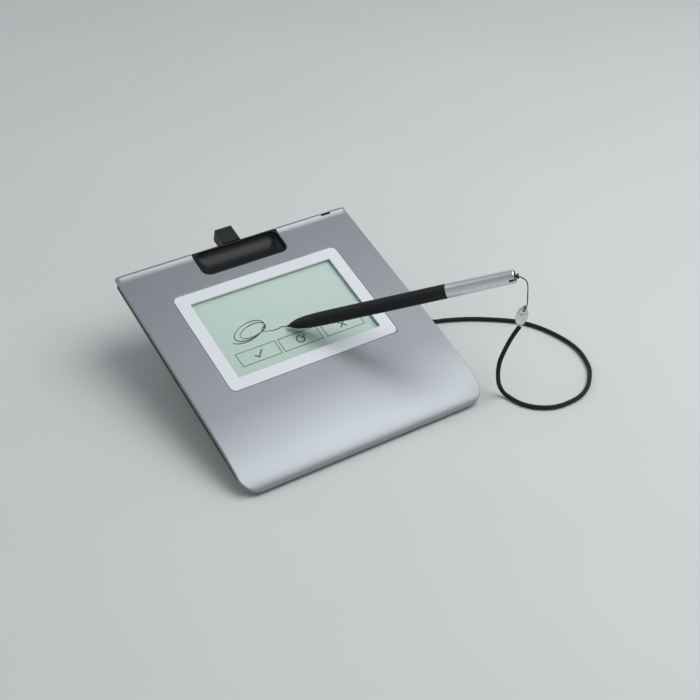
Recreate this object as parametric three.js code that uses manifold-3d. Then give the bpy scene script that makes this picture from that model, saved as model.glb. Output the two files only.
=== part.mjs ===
// Signature pad on a tilt stand, with a pen on a tether cord. Millimetres, +Z up.
// The origin is the middle of the rubber strip under the stand, on the table.
// The pad's own frame has x to the right, y from the front edge to the rear and z up from the
// underside. It is turned about x by the tilt, so that the rear stands higher.
import * as THREE from 'three';
import { mergeVertices } from 'three/addons/utils/BufferGeometryUtils.js';
import Module from 'manifold-3d';

const wasm = await Module();
wasm.setup();

// Driving dimensions of the pad
const padWidth = 161;
const padDepth = 168.6;
const padThickness = 10.3;
const tilt = THREE.MathUtils.degToRad(15.3);
const frontEdgeHeight = 0.8;

// Clearances: between neighbours that are fixed together, and how far a cutter passes a face
const seatGap = 0.3;
const overrun = 1;

// Top cover: the front rolls down along a quarter ellipse, the rear has a raised lip
const coverWall = 1.8;
const rollLength = 50;
const rollDrop = 8.4;
const skirtHeight = 2.4;
const frontSkirtBottom = 1.2;
const frontCornerRadius = 12.5;
const rearCornerRadius = 1.6;
const lipLength = 7.6;
const lipRise = 0.8;
const lipRearDrop = 1.4;
const rollSteps = 14;

// Bottom cover
const floorThickness = 1.8;
const bottomWall = 4.2;
const undercutHeight = 4.6;
const undercutInset = 3.9;

// Window, bezel and display stack: the margins are from the window to the case's own edges
const windowFrontMargin = 69.85;
const windowRearMargin = 37.45;
const windowSideMargin = 32.1;
const windowCornerRadius = 0.8;
const windowFromMiddle = -0.3;
const bezelBorder = 8.15;
const bezelThickness = 1.1;
const bezelCornerRadius = 3.6;
const ledgeWidth = 5.2;
const ledgeThickness = 1.2;
const rimWidth = 2.2;
const glassThickness = 1;
const panelSideMargin = 4.6;
const panelEndMargin = 5.35;
const panelThickness = 2.2;
const frameWall = 2.4;
const boardThickness = 0.8;
const shieldThickness = 0.4;
const stackMargin = 1;

// Pen tray
const trayWidth = 59.2;
const trayFromMiddle = -0.5;
const trayDepth = 20.6;
const trayCornerRadius = 5.5;
const trayFloor = 1.5;
const troughDepth = 5.3;
const trayFrontRim = 1;
const trayRearRim = 1.7;
const troughSteps = 12;

// Lock slot in the rear lip, and the steel plate behind it
const lockSlotWidth = 6.4;
const lockSlotHeight = 2.6;
const lockSlotDepth = 1.9;
const lockSlotFromRight = 14.5;
const lockPlateThickness = 1;
const lockPlateMargin = 3;

// Port housing behind the rear edge, with the data port on the end of its board
const housingWidth = 12;
const housingFromMiddle = -0.9;
const housingDepth = 12.8;
const housingHeight = 9.6;
const housingWall = 1.3;
const portWidth = 7.6;
const portHeight = 2.8;
const portLength = 8;
const portWall = 0.5;
const portBoardInside = 14;
const harnessDiameter = 1.4;

// Main board and what stands on it
const mainBoardFromSide = 28.5;
const mainBoardDepth = 33;
const mainBoardFromFront = 22.5;
const chipSide = 12;
const chipHeight = 1.2;
const memoryWidth = 8;
const memoryDepth = 6;
const crystalWidth = 5;
const crystalDepth = 3.2;
const connectorDepth = 4;
const connectorHeight = 1.6;
const displayRibbonWidth = 24;
const sensorRibbonWidth = 14;
const sensorRibbonFromEnd = 16;
const ribbonThickness = 0.3;
const headerWidth = 6;

// Screws: case screws, board screws, stand screws and the anchor's screw
const caseScrewRadius = 1.2;
const caseScrewHeadRadius = 2.4;
const caseScrewHeadHeight = 1.4;
const caseScrewLength = 6.6;
const bossRadius = 3.3;
const bossFromSide = 10.5;
const frontBossFromFront = 22;
const rearBossFromRear = 9.5;
const boardScrewRadius = 1;
const boardScrewHeadRadius = 1.9;
const boardScrewHeadHeight = 1;
const boardScrewInset = 3.5;

// Feet and stand: a strip of sheet bent to a flange, a leg and a foot, with a rubber strip below
const frontFootRadius = 5;
const frontFootFromFront = 13;
const frontFootFromSide = 20;
const standWidth = 76;
const standThickness = 2.5;
const standFlangeLength = 34;
const standTopFromRear = 36.6;
const standFootLength = 26;
const standLegLean = 9;
const standCornerRadius = 4;
const standStripHeight = 1.5;
const standStripInset = 2;
const standScrewSpacing = 50;

// Tether: cord, clear bead at its end, thin string to the pen
const cordDiameter = 2.7;
const stringDiameter = 0.8;
const beadLength = 11.4;
const beadWidth = 7.6;
const beadThickness = 4.6;
const beadHoleRadius = 0.8;
const anchorWidth = 15;
const anchorDepth = 11;
const anchorHeight = 7;
const anchorFromFront = 97.4;
const anchorFromRight = 9.6;

// Pen: black front barrel, silver rear barrel, nib and what is inside
const penLength = 140.6;
const penRadius = 4.3;
const penRearLength = 40.6;
const penMouth = 2.2;
const penBodyStart = 30;
const penBarrelWall = 1.2;
const penRearWall = 0.8;
const penEndRadius = 4.05;
const spigotLength = 8;
const nibRadius = 0.8;
const nibLength = 31;
const nibTravel = 0.5;
const nibToGlass = 0.65;
const ferriteStart = 9;
const ferriteLength = 18;
const ferriteWall = 0.8;
const coilLength = 12;
const coilThickness = 0.5;
const penSensorLength = 7;
const penSensorRadius = 2.4;
const penBoardLength = 44;
const penBoardWidth = 4;
const penCarrierRadius = 2.45;
const plugLength = 12;
const stringSlotWidth = 1.3;
const stringSlotLength = 3.4;
const stringHoleRadius = 0.8;
const stringHoleDepth = 4;

// Where the pen stands in the row's frame, at the moment of writing in the photograph
const penTipX = -3.65;
const penTipFromFront = 93.1;
const penHeading = new THREE.Vector3(0.698, -0.621, 0.356).normalize();

// Sizes in plan that follow from the case and its margins
const windowWidth = padWidth - windowSideMargin * 2;
const windowDepth = padDepth - windowFrontMargin - windowRearMargin;
const windowFromFront = windowFrontMargin + windowDepth / 2;
const bezelWidth = windowWidth + bezelBorder * 2;
const bezelDepth = windowDepth + bezelBorder * 2;
const panelWidth = windowWidth + panelSideMargin * 2;
const panelDepth = windowDepth + panelEndMargin * 2;
const mainBoardWidth = padWidth - mainBoardFromSide * 2;
const standTopFromFront = padDepth - standTopFromRear;
const penFrontLength = penLength - penRearLength;

// Heights in the pad's frame that follow from the sizes above
const bezelBottom = padThickness - bezelThickness;
const ledgeTop = bezelBottom - seatGap;
const glassTop = ledgeTop;
const ledgeBottom = ledgeTop - ledgeThickness;
const panelTop = ledgeBottom - seatGap;
const panelBottom = panelTop - panelThickness;
const sensorTop = panelBottom - seatGap;
const sensorBottom = sensorTop - boardThickness;
const shieldTop = sensorBottom - seatGap;
const shieldBottom = shieldTop - shieldThickness;
const skirtBottom = padThickness - skirtHeight;
const bottomTop = skirtBottom - seatGap;
const trayBottom = padThickness - troughDepth - trayFloor;
const mainBoardBottom = shieldBottom;
const mainBoardTop = mainBoardBottom + boardThickness;
const stackWidth = panelWidth + (frameWall + seatGap) * 2;
const stackDepth = panelDepth + (frameWall + seatGap) * 2;
const stackFront = windowFromFront - stackDepth / 2;
const sensorDepth = stackDepth + stackMargin * 2;
const sensorWidth = stackWidth + stackMargin * 2;
const bossTop = caseScrewHeadHeight + seatGap + floorThickness;

// Shapes and solids
function solidOf(geometry) {
  const bare = geometry.clone();
  bare.deleteAttribute('normal');
  bare.deleteAttribute('uv');
  const merged = mergeVertices(bare, seatGap / 1000);
  return new wasm.Manifold(new wasm.Mesh({
    numProp: 3,
    vertProperties: new Float32Array(merged.attributes.position.array),
    triVerts: new Uint32Array(merged.index.array),
  }));
}

function geometryOf(solid) {
  const mesh = solid.getMesh();
  const geometry = new THREE.BufferGeometry();
  geometry.setAttribute('position', new THREE.BufferAttribute(new Float32Array(mesh.vertProperties), 3));
  geometry.setIndex(new THREE.BufferAttribute(new Uint32Array(mesh.triVerts), 1));
  return geometry;
}

// A box from its middle in x, its low and high y, and its low and high z
function block(middleX, width, lowY, highY, lowZ, highZ) {
  const geometry = new THREE.BoxGeometry(width, highY - lowY, highZ - lowZ);
  geometry.translate(middleX, (lowY + highY) / 2, (lowZ + highZ) / 2);
  return solidOf(geometry);
}

// An upright cylinder between two heights
function post(x, y, radius, lowZ, highZ, sides = 24) {
  const geometry = new THREE.CylinderGeometry(radius, radius, highZ - lowZ, sides);
  geometry.rotateX(Math.PI / 2);
  geometry.translate(x, y, (lowZ + highZ) / 2);
  return solidOf(geometry);
}

// A plan outline with its own radius at the front and rear corners
function planOutline(middleX, width, lowY, highY, frontRadius, rearRadius) {
  const left = middleX - width / 2;
  const right = middleX + width / 2;
  const shape = new THREE.Shape();
  shape.moveTo(left + frontRadius, lowY);
  shape.lineTo(right - frontRadius, lowY);
  shape.absarc(right - frontRadius, lowY + frontRadius, frontRadius, -Math.PI / 2, 0);
  shape.lineTo(right, highY - rearRadius);
  shape.absarc(right - rearRadius, highY - rearRadius, rearRadius, 0, Math.PI / 2);
  shape.lineTo(left + rearRadius, highY);
  shape.absarc(left + rearRadius, highY - rearRadius, rearRadius, Math.PI / 2, Math.PI);
  shape.lineTo(left, lowY + frontRadius);
  shape.absarc(left + frontRadius, lowY + frontRadius, frontRadius, Math.PI, Math.PI * 1.5);
  return shape;
}

// The same, round the middle of the window
function windowOutline(width, depth, radius) {
  const lowY = windowFromFront - depth / 2;
  return planOutline(windowFromMiddle, width, lowY, lowY + depth, radius, radius);
}

function slab(outline, lowZ, highZ, curveSegments = 6) {
  const geometry = new THREE.ExtrudeGeometry(outline, {
    depth: highZ - lowZ,
    bevelEnabled: false,
    curveSegments,
  });
  geometry.translate(0, 0, lowZ);
  return solidOf(geometry);
}

// A side outline, given as [y, z] pairs, carried along x
function beam(points, middleX, width) {
  const shape = new THREE.Shape(points.map(([y, z]) => new THREE.Vector2(y, z)));
  const geometry = new THREE.ExtrudeGeometry(shape, { depth: width, bevelEnabled: false });
  const turn = new THREE.Matrix4().makeBasis(
    new THREE.Vector3(0, 1, 0),
    new THREE.Vector3(0, 0, 1),
    new THREE.Vector3(1, 0, 0),
  );
  geometry.applyMatrix4(turn);
  geometry.translate(middleX - width / 2, 0, 0);
  return solidOf(geometry);
}

// A turned solid about z, from [radius, height] pairs that start and end on the axis or close
function turned(points, sides = 24) {
  const geometry = new THREE.LatheGeometry(points.map(([r, z]) => new THREE.Vector2(r, z)), sides);
  geometry.rotateX(Math.PI / 2);
  return solidOf(geometry);
}

function tube(points, radius, sides, steps) {
  const section = new THREE.Shape();
  for (let i = 0; i < sides; i += 1) {
    const angle = (Math.PI * 2 * i) / sides;
    const x = radius * Math.cos(angle);
    const y = radius * Math.sin(angle);
    if (i === 0) {
      section.moveTo(x, y);
    } else {
      section.lineTo(x, y);
    }
  }
  section.closePath();
  const path = new THREE.CatmullRomCurve3(points, false, 'centripetal');
  return new THREE.ExtrudeGeometry(section, { steps, bevelEnabled: false, extrudePath: path });
}

// Groups: the pad is turned by its tilt, the pen is turned to its heading
const signaturePad = new THREE.Group();
const standReach = standTopFromFront * Math.cos(tilt) + standLegLean + standFootLength / 2;
const pad = new THREE.Group();
pad.rotation.x = tilt;
pad.position.set(0, -standReach, frontEdgeHeight);
signaturePad.add(pad);

function add(parent, name, shape, colour, roughness, metalness) {
  const geometry = shape instanceof THREE.BufferGeometry ? shape : geometryOf(shape);
  const material = new THREE.MeshStandardMaterial({ color: colour, roughness, metalness });
  const mesh = new THREE.Mesh(geometry, material);
  mesh.name = name;
  parent.add(mesh);
  return mesh;
}

// A point of the pad's frame in the row's frame
function fromPad(x, y, z) {
  return new THREE.Vector3(x, y, z).applyEuler(new THREE.Euler(tilt, 0, 0)).add(pad.position);
}

// Height of the cover's top over the roll at the front, and the line where the two covers meet
function coverTop(y) {
  const share = Math.max(0, (rollLength - y) / rollLength);
  return padThickness - rollDrop * (1 - Math.sqrt(Math.max(0, 1 - share * share)));
}

function splitHeight(y) {
  return Math.max(frontSkirtBottom, coverTop(y) - skirtHeight);
}

// Stations along the roll, closer together at the front where it is steep
function rollStations() {
  const stations = [];
  for (let i = 0; i <= rollSteps; i += 1) {
    stations.push(rollLength * (1 - Math.cos((Math.PI / 2) * (i / rollSteps))));
  }
  return stations;
}

// The rear lip as shares of its length and rise: a hollow rise, a crest, and a round over the edge
const lipShares = [[0, 0], [0.25, 0.1], [0.45, 0.45], [0.6, 0.85], [0.72, 1], [0.86, 0.9]];
const lipStart = padDepth - lipLength;

function coverOutline() {
  const top = rollStations().map((y) => [y, coverTop(y)]);
  const lip = lipShares.map(([along, up]) => [lipStart + along * lipLength, padThickness + up * lipRise]);
  const rear = [[padDepth, padThickness - lipRearDrop], [padDepth, skirtBottom]];
  const split = rollStations().reverse().map((y) => [y, splitHeight(y)]);
  return [...top, ...lip, ...rear, ...split];
}

// Case screw places, shared by the bosses of both covers and the screws
const bossX = padWidth / 2 - bossFromSide;
const bossRows = [frontBossFromFront, windowFromFront, padDepth - rearBossFromRear];
const bossPlaces = bossRows.flatMap((y) => [[-bossX, y], [bossX, y]]);
const caseScrewTop = caseScrewHeadHeight / 2 + caseScrewLength;

const lockSlotX = padWidth / 2 - lockSlotFromRight;
const lockSlotTop = padThickness + lipRise;
const lockSlotBottom = lockSlotTop - lockSlotHeight;
const lockPlateWidth = lockSlotWidth + lockPlateMargin * 2;
const lockPlateRear = padDepth - coverWall - seatGap;
const lockPlateFront = lockPlateRear - lockPlateThickness;
const lockPlateLow = undercutHeight;
const lockPlateTop = padThickness - seatGap;
const lockPocket = block(
  lockSlotX,
  lockPlateWidth + seatGap * 2,
  lockPlateFront - seatGap,
  lockPlateRear + seatGap,
  lockPlateLow - seatGap,
  lockPlateTop + seatGap,
);

// Top cover
function topCover() {
  const outline = planOutline(0, padWidth, 0, padDepth, frontCornerRadius, rearCornerRadius);
  const skin = beam(coverOutline(), 0, padWidth + overrun)
    .intersect(slab(outline, 0, padThickness + lipRise + overrun, 8));
  const ceiling = rollStations().map((y) => [y, coverTop(y) - coverWall]);
  const hollowOutline = planOutline(
    0,
    padWidth - coverWall * 2,
    coverWall,
    padDepth - coverWall,
    frontCornerRadius - coverWall,
    rearCornerRadius / 2,
  );
  const hollow = beam(
    [[0, -overrun], ...ceiling, [padDepth, padThickness - coverWall], [padDepth, -overrun]],
    0,
    padWidth,
  ).intersect(slab(hollowOutline, -overrun, padThickness, 8));
  const rim = slab(
    windowOutline(bezelWidth + rimWidth * 2, bezelDepth + rimWidth * 2, bezelCornerRadius),
    ledgeBottom,
    padThickness - coverWall / 2,
  );
  const recess = slab(
    windowOutline(bezelWidth + seatGap * 2, bezelDepth + seatGap * 2, bezelCornerRadius + seatGap),
    ledgeTop,
    padThickness + overrun,
  );
  const opening = block(
    windowFromMiddle,
    bezelWidth - ledgeWidth * 2,
    windowFromFront - bezelDepth / 2 + ledgeWidth,
    windowFromFront + bezelDepth / 2 - ledgeWidth,
    0,
    padThickness + overrun,
  );
  const trayCut = slab(planOutline(
    trayFromMiddle,
    trayWidth,
    padDepth - trayDepth,
    padDepth + trayCornerRadius + overrun,
    trayCornerRadius,
    trayCornerRadius,
  ), 0, padThickness + lipRise + overrun);
  const lockCut = block(
    lockSlotX,
    lockSlotWidth,
    padDepth - lockSlotDepth,
    padDepth + overrun,
    lockSlotBottom,
    lockSlotTop + overrun,
  );
  let cover = skin.subtract(hollow).add(rim).subtract(recess).subtract(opening);
  for (const [x, y] of bossPlaces) {
    const top = coverTop(y) - coverWall / 2;
    cover = cover.add(post(x, y, bossRadius, bossTop + seatGap, top, 16));
    cover = cover.subtract(post(x, y, caseScrewRadius + seatGap, 0, caseScrewTop + seatGap, 12));
  }
  return cover.subtract(trayCut).subtract(lockCut).subtract(lockPocket);
}
add(pad, 'top_cover', topCover(), '#8f9498', 0.42, 0.35);

// Bottom cover: undercut all round, with bosses for the screws and pads for the boards
const mainBoardMiddle = mainBoardFromFront + mainBoardDepth / 2;
const boardScrewX = mainBoardWidth / 2 - boardScrewInset;
const boardScrewY = mainBoardFromFront + boardScrewInset;
const housingLow = padThickness - housingHeight;
const portBoardBottom = floorThickness + seatGap;
const portBoardTop = portBoardBottom + boardThickness;
const portBoardWidth = housingWidth - (housingWall + seatGap) * 2;

function bottomCover() {
  const outline = planOutline(
    0,
    padWidth - undercutInset * 2,
    undercutInset,
    padDepth - undercutInset,
    frontCornerRadius - undercutInset,
    rearCornerRadius / 2,
  );
  const bevelled = new THREE.ExtrudeGeometry(outline, {
    depth: padThickness,
    bevelThickness: undercutHeight,
    bevelSize: undercutInset,
    bevelSegments: 1,
    curveSegments: 8,
  });
  bevelled.translate(0, 0, undercutHeight);
  const under = rollStations().reverse().map((y) => [y, splitHeight(y) - seatGap]);
  const below = beam([[0, 0], [padDepth, 0], [padDepth, bottomTop], ...under], 0, padWidth);
  const hollow = slab(planOutline(
    0,
    padWidth - bottomWall * 2,
    bottomWall,
    padDepth - bottomWall,
    frontCornerRadius - bottomWall,
    rearCornerRadius,
  ), floorThickness, padThickness, 8);
  let cover = solidOf(bevelled).intersect(below).subtract(hollow);
  for (const [x, y] of bossPlaces) {
    cover = cover.add(post(x, y, bossRadius, floorThickness / 2, bossTop, 16));
    cover = cover.subtract(post(x, y, caseScrewRadius + seatGap, -overrun, padThickness, 12));
    const recessTop = caseScrewHeadHeight + seatGap;
    cover = cover.subtract(post(x, y, caseScrewHeadRadius + seatGap, -overrun, recessTop, 16));
  }
  for (const side of [-1, 1]) {
    const socketLow = floorThickness / 2;
    const standoffTop = mainBoardBottom - seatGap;
    for (const y of [boardScrewY, mainBoardFromFront + mainBoardDepth - boardScrewInset]) {
      const x = side * boardScrewX;
      cover = cover.add(post(x, y, boardScrewHeadRadius, socketLow, standoffTop, 12));
    }
    cover = cover.subtract(
      post(side * boardScrewX, boardScrewY, boardScrewRadius + seatGap, socketLow, padThickness, 12),
    );
    const railY = windowFromFront + side * (sensorDepth / 2 - frameWall);
    cover = cover.add(block(
      windowFromMiddle,
      sensorWidth,
      railY - frameWall / 2,
      railY + frameWall / 2,
      floorThickness / 2,
      shieldBottom - seatGap,
    ));
  }
  const trayRoom = block(
    trayFromMiddle,
    trayWidth,
    padDepth - bottomWall - overrun,
    padDepth + overrun,
    trayBottom - seatGap,
    padThickness,
  );
  const portRoom = block(
    housingFromMiddle,
    portBoardWidth + seatGap * 2,
    padDepth - bottomWall - overrun,
    padDepth + overrun,
    floorThickness,
    padThickness,
  );
  return cover.subtract(trayRoom).subtract(portRoom).subtract(lockPocket);
}
add(pad, 'bottom_cover', bottomCover(), '#1d1f20', 0.6, 0);

// Bezel, glass and display stack
const bezelWindow = windowOutline(windowWidth, windowDepth, windowCornerRadius);
const bezel = slab(windowOutline(bezelWidth, bezelDepth, bezelCornerRadius), bezelBottom, padThickness)
  .subtract(slab(bezelWindow, 0, padThickness + overrun, 3));
add(pad, 'display_bezel', bezel, '#e4e8ea', 0.35, 0.1);

function stackSlab(width, depth, lowZ, highZ) {
  const lowY = windowFromFront - depth / 2;
  return block(windowFromMiddle, width, lowY, lowY + depth, lowZ, highZ);
}
const glassWidth = bezelWidth - (ledgeWidth + seatGap) * 2;
const glassDepth = bezelDepth - (ledgeWidth + seatGap) * 2;
const glass = stackSlab(glassWidth, glassDepth, glassTop - glassThickness, glassTop);
add(pad, 'display_glass', glass, '#dfe8e2', 0.2, 0);
const panel = stackSlab(panelWidth, panelDepth, panelBottom, panelTop);
add(pad, 'display_panel', panel, '#bccbbf', 0.5, 0);

const ribbonSill = panelBottom + frameWall / 4;
const ribbonNotch = block(
  windowFromMiddle,
  displayRibbonWidth + seatGap * 2,
  stackFront - overrun,
  stackFront + frameWall + seatGap,
  ribbonSill,
  panelTop + overrun,
);
const displayFrame = stackSlab(stackWidth, stackDepth, panelBottom, panelTop)
  .subtract(stackSlab(panelWidth + seatGap * 2, panelDepth + seatGap * 2, 0, padThickness))
  .subtract(ribbonNotch);
add(pad, 'display_frame', displayFrame, '#2c2e30', 0.6, 0);
add(pad, 'sensor_board', stackSlab(sensorWidth, sensorDepth, sensorBottom, sensorTop), '#1f5b3a', 0.6, 0);
add(pad, 'shield_plate', stackSlab(sensorWidth, sensorDepth, shieldBottom, shieldTop), '#a9adb0', 0.4, 0.8);

// Pen tray: a trough that follows half an ellipse between the front rim and the rear rim
function penTray() {
  const front = padDepth - trayDepth + seatGap;
  const rear = padDepth - seatGap;
  const rearTop = padThickness + lipRise;
  const troughFront = front + trayFrontRim;
  const troughRear = rear - trayRearRim;
  const middle = (troughFront + troughRear) / 2;
  const reach = (troughRear - troughFront) / 2;
  const trough = [];
  for (let i = 0; i <= troughSteps; i += 1) {
    const angle = Math.PI * (1 - i / troughSteps);
    const y = middle + reach * Math.cos(angle);
    const along = (y - troughFront) / (troughRear - troughFront);
    const rimZ = padThickness + (rearTop - padThickness) * along;
    trough.push([y, rimZ - troughDepth * Math.sin(angle)]);
  }
  const outer = [[front, trayBottom], [front, padThickness]];
  const rearEdge = padThickness - lipRearDrop;
  const back = [[rear - trayRearRim / 3, rearTop], [rear, rearEdge], [rear, trayBottom]];
  const body = beam([...outer, ...trough, ...back], trayFromMiddle, trayWidth);
  return body.intersect(slab(planOutline(
    trayFromMiddle,
    trayWidth - seatGap * 2,
    front,
    padDepth + trayCornerRadius,
    trayCornerRadius - seatGap,
    trayCornerRadius,
  ), 0, padThickness + lipRise + overrun));
}
add(pad, 'pen_tray', penTray(), '#191a1b', 0.3, 0);

// Lock plate: steel, standing in the covers' pocket, with a notch in line with the slot
const lockPlate = block(
  lockSlotX,
  lockPlateWidth,
  lockPlateFront,
  lockPlateRear,
  lockPlateLow,
  lockPlateTop,
).subtract(block(
  lockSlotX,
  lockSlotWidth,
  lockPlateFront - overrun,
  lockPlateRear + overrun,
  lockSlotBottom,
  padThickness + overrun,
));
add(pad, 'lock_plate', lockPlate, '#8b8e90', 0.35, 0.9);

// Port housing, port board and data port
const housingFront = padDepth + seatGap;
const housingRear = housingFront + housingDepth;
const portTop = portBoardTop + seatGap + portHeight;
const portLow = portBoardTop + seatGap;
const housing = block(housingFromMiddle, housingWidth, housingFront, housingRear, housingLow, padThickness)
  .subtract(block(
    housingFromMiddle,
    housingWidth - housingWall * 2,
    housingFront - overrun,
    housingRear - housingWall,
    floorThickness,
    portTop + seatGap,
  ))
  .subtract(block(
    housingFromMiddle,
    portWidth + seatGap * 2,
    housingFront,
    housingRear + overrun,
    portLow - seatGap,
    portTop + seatGap,
  ));
add(pad, 'port_housing', housing, '#242728', 0.55, 0);
const portBoardRear = housingRear - housingWall - seatGap;
const portBoard = block(
  housingFromMiddle,
  portBoardWidth,
  padDepth - portBoardInside,
  portBoardRear,
  portBoardBottom,
  portBoardTop,
);
add(pad, 'port_board', portBoard, '#1f5b3a', 0.6, 0);
const portRear = housingRear - seatGap;
const dataPort = block(housingFromMiddle, portWidth, portRear - portLength, portRear, portLow, portTop)
  .subtract(block(
    housingFromMiddle,
    portWidth - portWall * 2,
    portRear - portLength + portWall,
    portRear + overrun,
    portLow + portWall,
    portTop - portWall,
  ));
add(pad, 'data_port', dataPort, '#b7babc', 0.35, 0.9);

// Main board, its chips, connectors and ribbons
function onBoard(middleX, width, lowY, depth, height) {
  const low = mainBoardTop + seatGap;
  return block(middleX, width, lowY, lowY + depth, low, low + height);
}
const boardRear = mainBoardFromFront + mainBoardDepth;
const mainBoard = block(0, mainBoardWidth, mainBoardFromFront, boardRear, mainBoardBottom, mainBoardTop)
  .subtract(post(-boardScrewX, boardScrewY, boardScrewRadius + seatGap, 0, padThickness, 12))
  .subtract(post(boardScrewX, boardScrewY, boardScrewRadius + seatGap, 0, padThickness, 12));
add(pad, 'main_board', mainBoard, '#1d5236', 0.6, 0);
const chipFront = mainBoardMiddle - chipSide / 2;
const controllerX = mainBoardWidth / 8;
const controller = onBoard(controllerX, chipSide, chipFront, chipSide, chipHeight);
add(pad, 'controller_chip', controller, '#1a1b1c', 0.5, 0);
const memoryX = controllerX + chipSide * 1.5;
const memory = onBoard(memoryX, memoryWidth, chipFront, memoryDepth, chipHeight);
add(pad, 'memory_chip', memory, '#1a1b1c', 0.5, 0);
const crystalX = controllerX - chipSide;
const crystal = onBoard(crystalX, crystalWidth, chipFront, crystalDepth, chipHeight);
add(pad, 'clock_crystal', crystal, '#c4c6c7', 0.3, 0.9);

const connectorFront = boardRear - connectorDepth - boardScrewInset;
const connectorRear = connectorFront + connectorDepth;
const ribbonPort = mainBoardTop + seatGap + connectorHeight / 2;
const displayConnector = onBoard(
  windowFromMiddle,
  displayRibbonWidth + connectorHeight,
  connectorFront,
  connectorDepth,
  connectorHeight,
);
add(pad, 'display_connector', displayConnector, '#d9d3c4', 0.6, 0);
const sensorRibbonX = mainBoardWidth / 2 - sensorRibbonFromEnd;
const sensorConnector = onBoard(
  -sensorRibbonX,
  sensorRibbonWidth + connectorHeight,
  connectorFront,
  connectorDepth,
  connectorHeight,
);
add(pad, 'sensor_connector', sensorConnector, '#d9d3c4', 0.6, 0);

// A ribbon runs level out of its board's edge, slopes to the connector and runs level into it
function ribbon(middleX, width, startY, startZ) {
  const endY = connectorRear + seatGap;
  const bendA = startY - (startY - endY) / 3;
  const bendB = startY - (startY - endY) / 1.5;
  const half = ribbonThickness / 2;
  return beam([
    [endY, ribbonPort - half],
    [bendB, ribbonPort - half],
    [bendA, startZ - half],
    [startY, startZ - half],
    [startY, startZ + half],
    [bendA, startZ + half],
    [bendB, ribbonPort + half],
    [endY, ribbonPort + half],
  ], middleX, width);
}
const displayRibbonStart = windowFromFront - panelDepth / 2 - seatGap;
const displayRibbonZ = ribbonSill + seatGap + ribbonThickness / 2;
const displayRibbon = ribbon(windowFromMiddle, displayRibbonWidth, displayRibbonStart, displayRibbonZ);
add(pad, 'display_ribbon', displayRibbon, '#a8642a', 0.5, 0);
const sensorRibbonStart = windowFromFront - sensorDepth / 2 - seatGap;
const sensorRibbonZ = (sensorTop + sensorBottom) / 2;
const sensorRibbon = ribbon(-sensorRibbonX, sensorRibbonWidth, sensorRibbonStart, sensorRibbonZ);
add(pad, 'sensor_ribbon', sensorRibbon, '#a8642a', 0.5, 0);

const headerX = -mainBoardWidth / 2 + headerWidth;
const headerFront = mainBoardMiddle - connectorDepth;
const header = onBoard(headerX, headerWidth, headerFront, connectorDepth, chipHeight * 1.5);
add(pad, 'harness_header', header, '#e5e3dc', 0.6, 0);

// Harness from the port board along the left side to the header
const harnessRadius = harnessDiameter / 2;
const harnessLow = floorThickness + seatGap + harnessRadius;
const harnessX = -(sensorWidth / 2 + bossX - bossRadius) / 2;
const harnessEndZ = mainBoardTop + seatGap + harnessRadius + seatGap;
const harnessTurnY = windowFromFront + sensorDepth / 2 + harnessDiameter * 2;
const harnessStartX = housingFromMiddle - portBoardWidth / 2 - seatGap;
const harnessStartY = padDepth - portBoardInside + harnessDiameter;
const harnessEndX = headerX - headerWidth / 2 - seatGap;
const harnessEndY = headerFront + connectorDepth / 2;
const harnessRoute = [
  [harnessStartX, harnessStartY, harnessLow],
  [-portBoardWidth, harnessStartY, harnessLow],
  [-trayWidth / 2, harnessTurnY + harnessDiameter * 2, harnessLow],
  [harnessX + harnessDiameter * 2, harnessTurnY, harnessLow],
  [harnessX, harnessTurnY - harnessDiameter * 3, harnessLow],
  [harnessX, windowFromFront, harnessLow],
  [harnessX, stackFront, harnessLow],
  [harnessX, headerFront + connectorDepth * 2, harnessLow + harnessRadius],
  [harnessX + harnessDiameter, harnessEndY, harnessEndZ],
  [harnessEndX, harnessEndY, harnessEndZ],
].map(([x, y, z]) => new THREE.Vector3(x, y, z));
const harness = tube(harnessRoute, harnessRadius, 6, 48);
add(pad, 'port_harness', harness, '#222426', 0.6, 0);

// Screws from below: a flat head and a shank, about z, with the head's underside at z = 0
function screw(headRadius, headHeight, radius, length) {
  return turned([
    [0, 0],
    [headRadius, 0],
    [headRadius, headHeight],
    [radius, headHeight],
    [radius, headHeight + length],
    [0, headHeight + length],
  ], 14);
}
bossPlaces.forEach(([x, y], index) => {
  const shankLength = caseScrewTop - caseScrewHeadHeight;
  const shape = screw(caseScrewHeadRadius, caseScrewHeadHeight, caseScrewRadius, shankLength);
  const mesh = add(pad, `case_screw_${index + 1}`, shape, '#3a3c3e', 0.4, 0.8);
  mesh.position.set(x, y, 0);
});
['left', 'right'].forEach((side, index) => {
  const sign = index === 0 ? -1 : 1;
  const headLow = mainBoardTop + seatGap;
  const shankLength = headLow - floorThickness / 2 - seatGap;
  const shape = screw(boardScrewHeadRadius, boardScrewHeadHeight, boardScrewRadius, shankLength);
  const mesh = add(pad, `board_screw_${side}`, shape, '#b0b2b4', 0.35, 0.9);
  mesh.rotation.x = Math.PI;
  mesh.position.set(sign * boardScrewX, boardScrewY, headLow + boardScrewHeadHeight);
});

// Front feet: rubber pads, level below and cut to the slope of the underside above
function frontFoot(sign) {
  const middle = fromPad(sign * (padWidth / 2 - frontFootFromSide), frontFootFromFront, 0);
  const tall = post(middle.x, middle.y, frontFootRadius, 0, padThickness, 20);
  const above = new THREE.BoxGeometry(frontFootRadius * 4, frontFootRadius * 4, padThickness * 2);
  above.translate(0, 0, padThickness - seatGap);
  above.rotateX(tilt);
  above.translate(middle.x, middle.y, middle.z);
  return tall.subtract(solidOf(above));
}
add(signaturePad, 'front_foot_left', frontFoot(-1), '#17181a', 0.9, 0);
add(signaturePad, 'front_foot_right', frontFoot(1), '#17181a', 0.9, 0);

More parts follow.
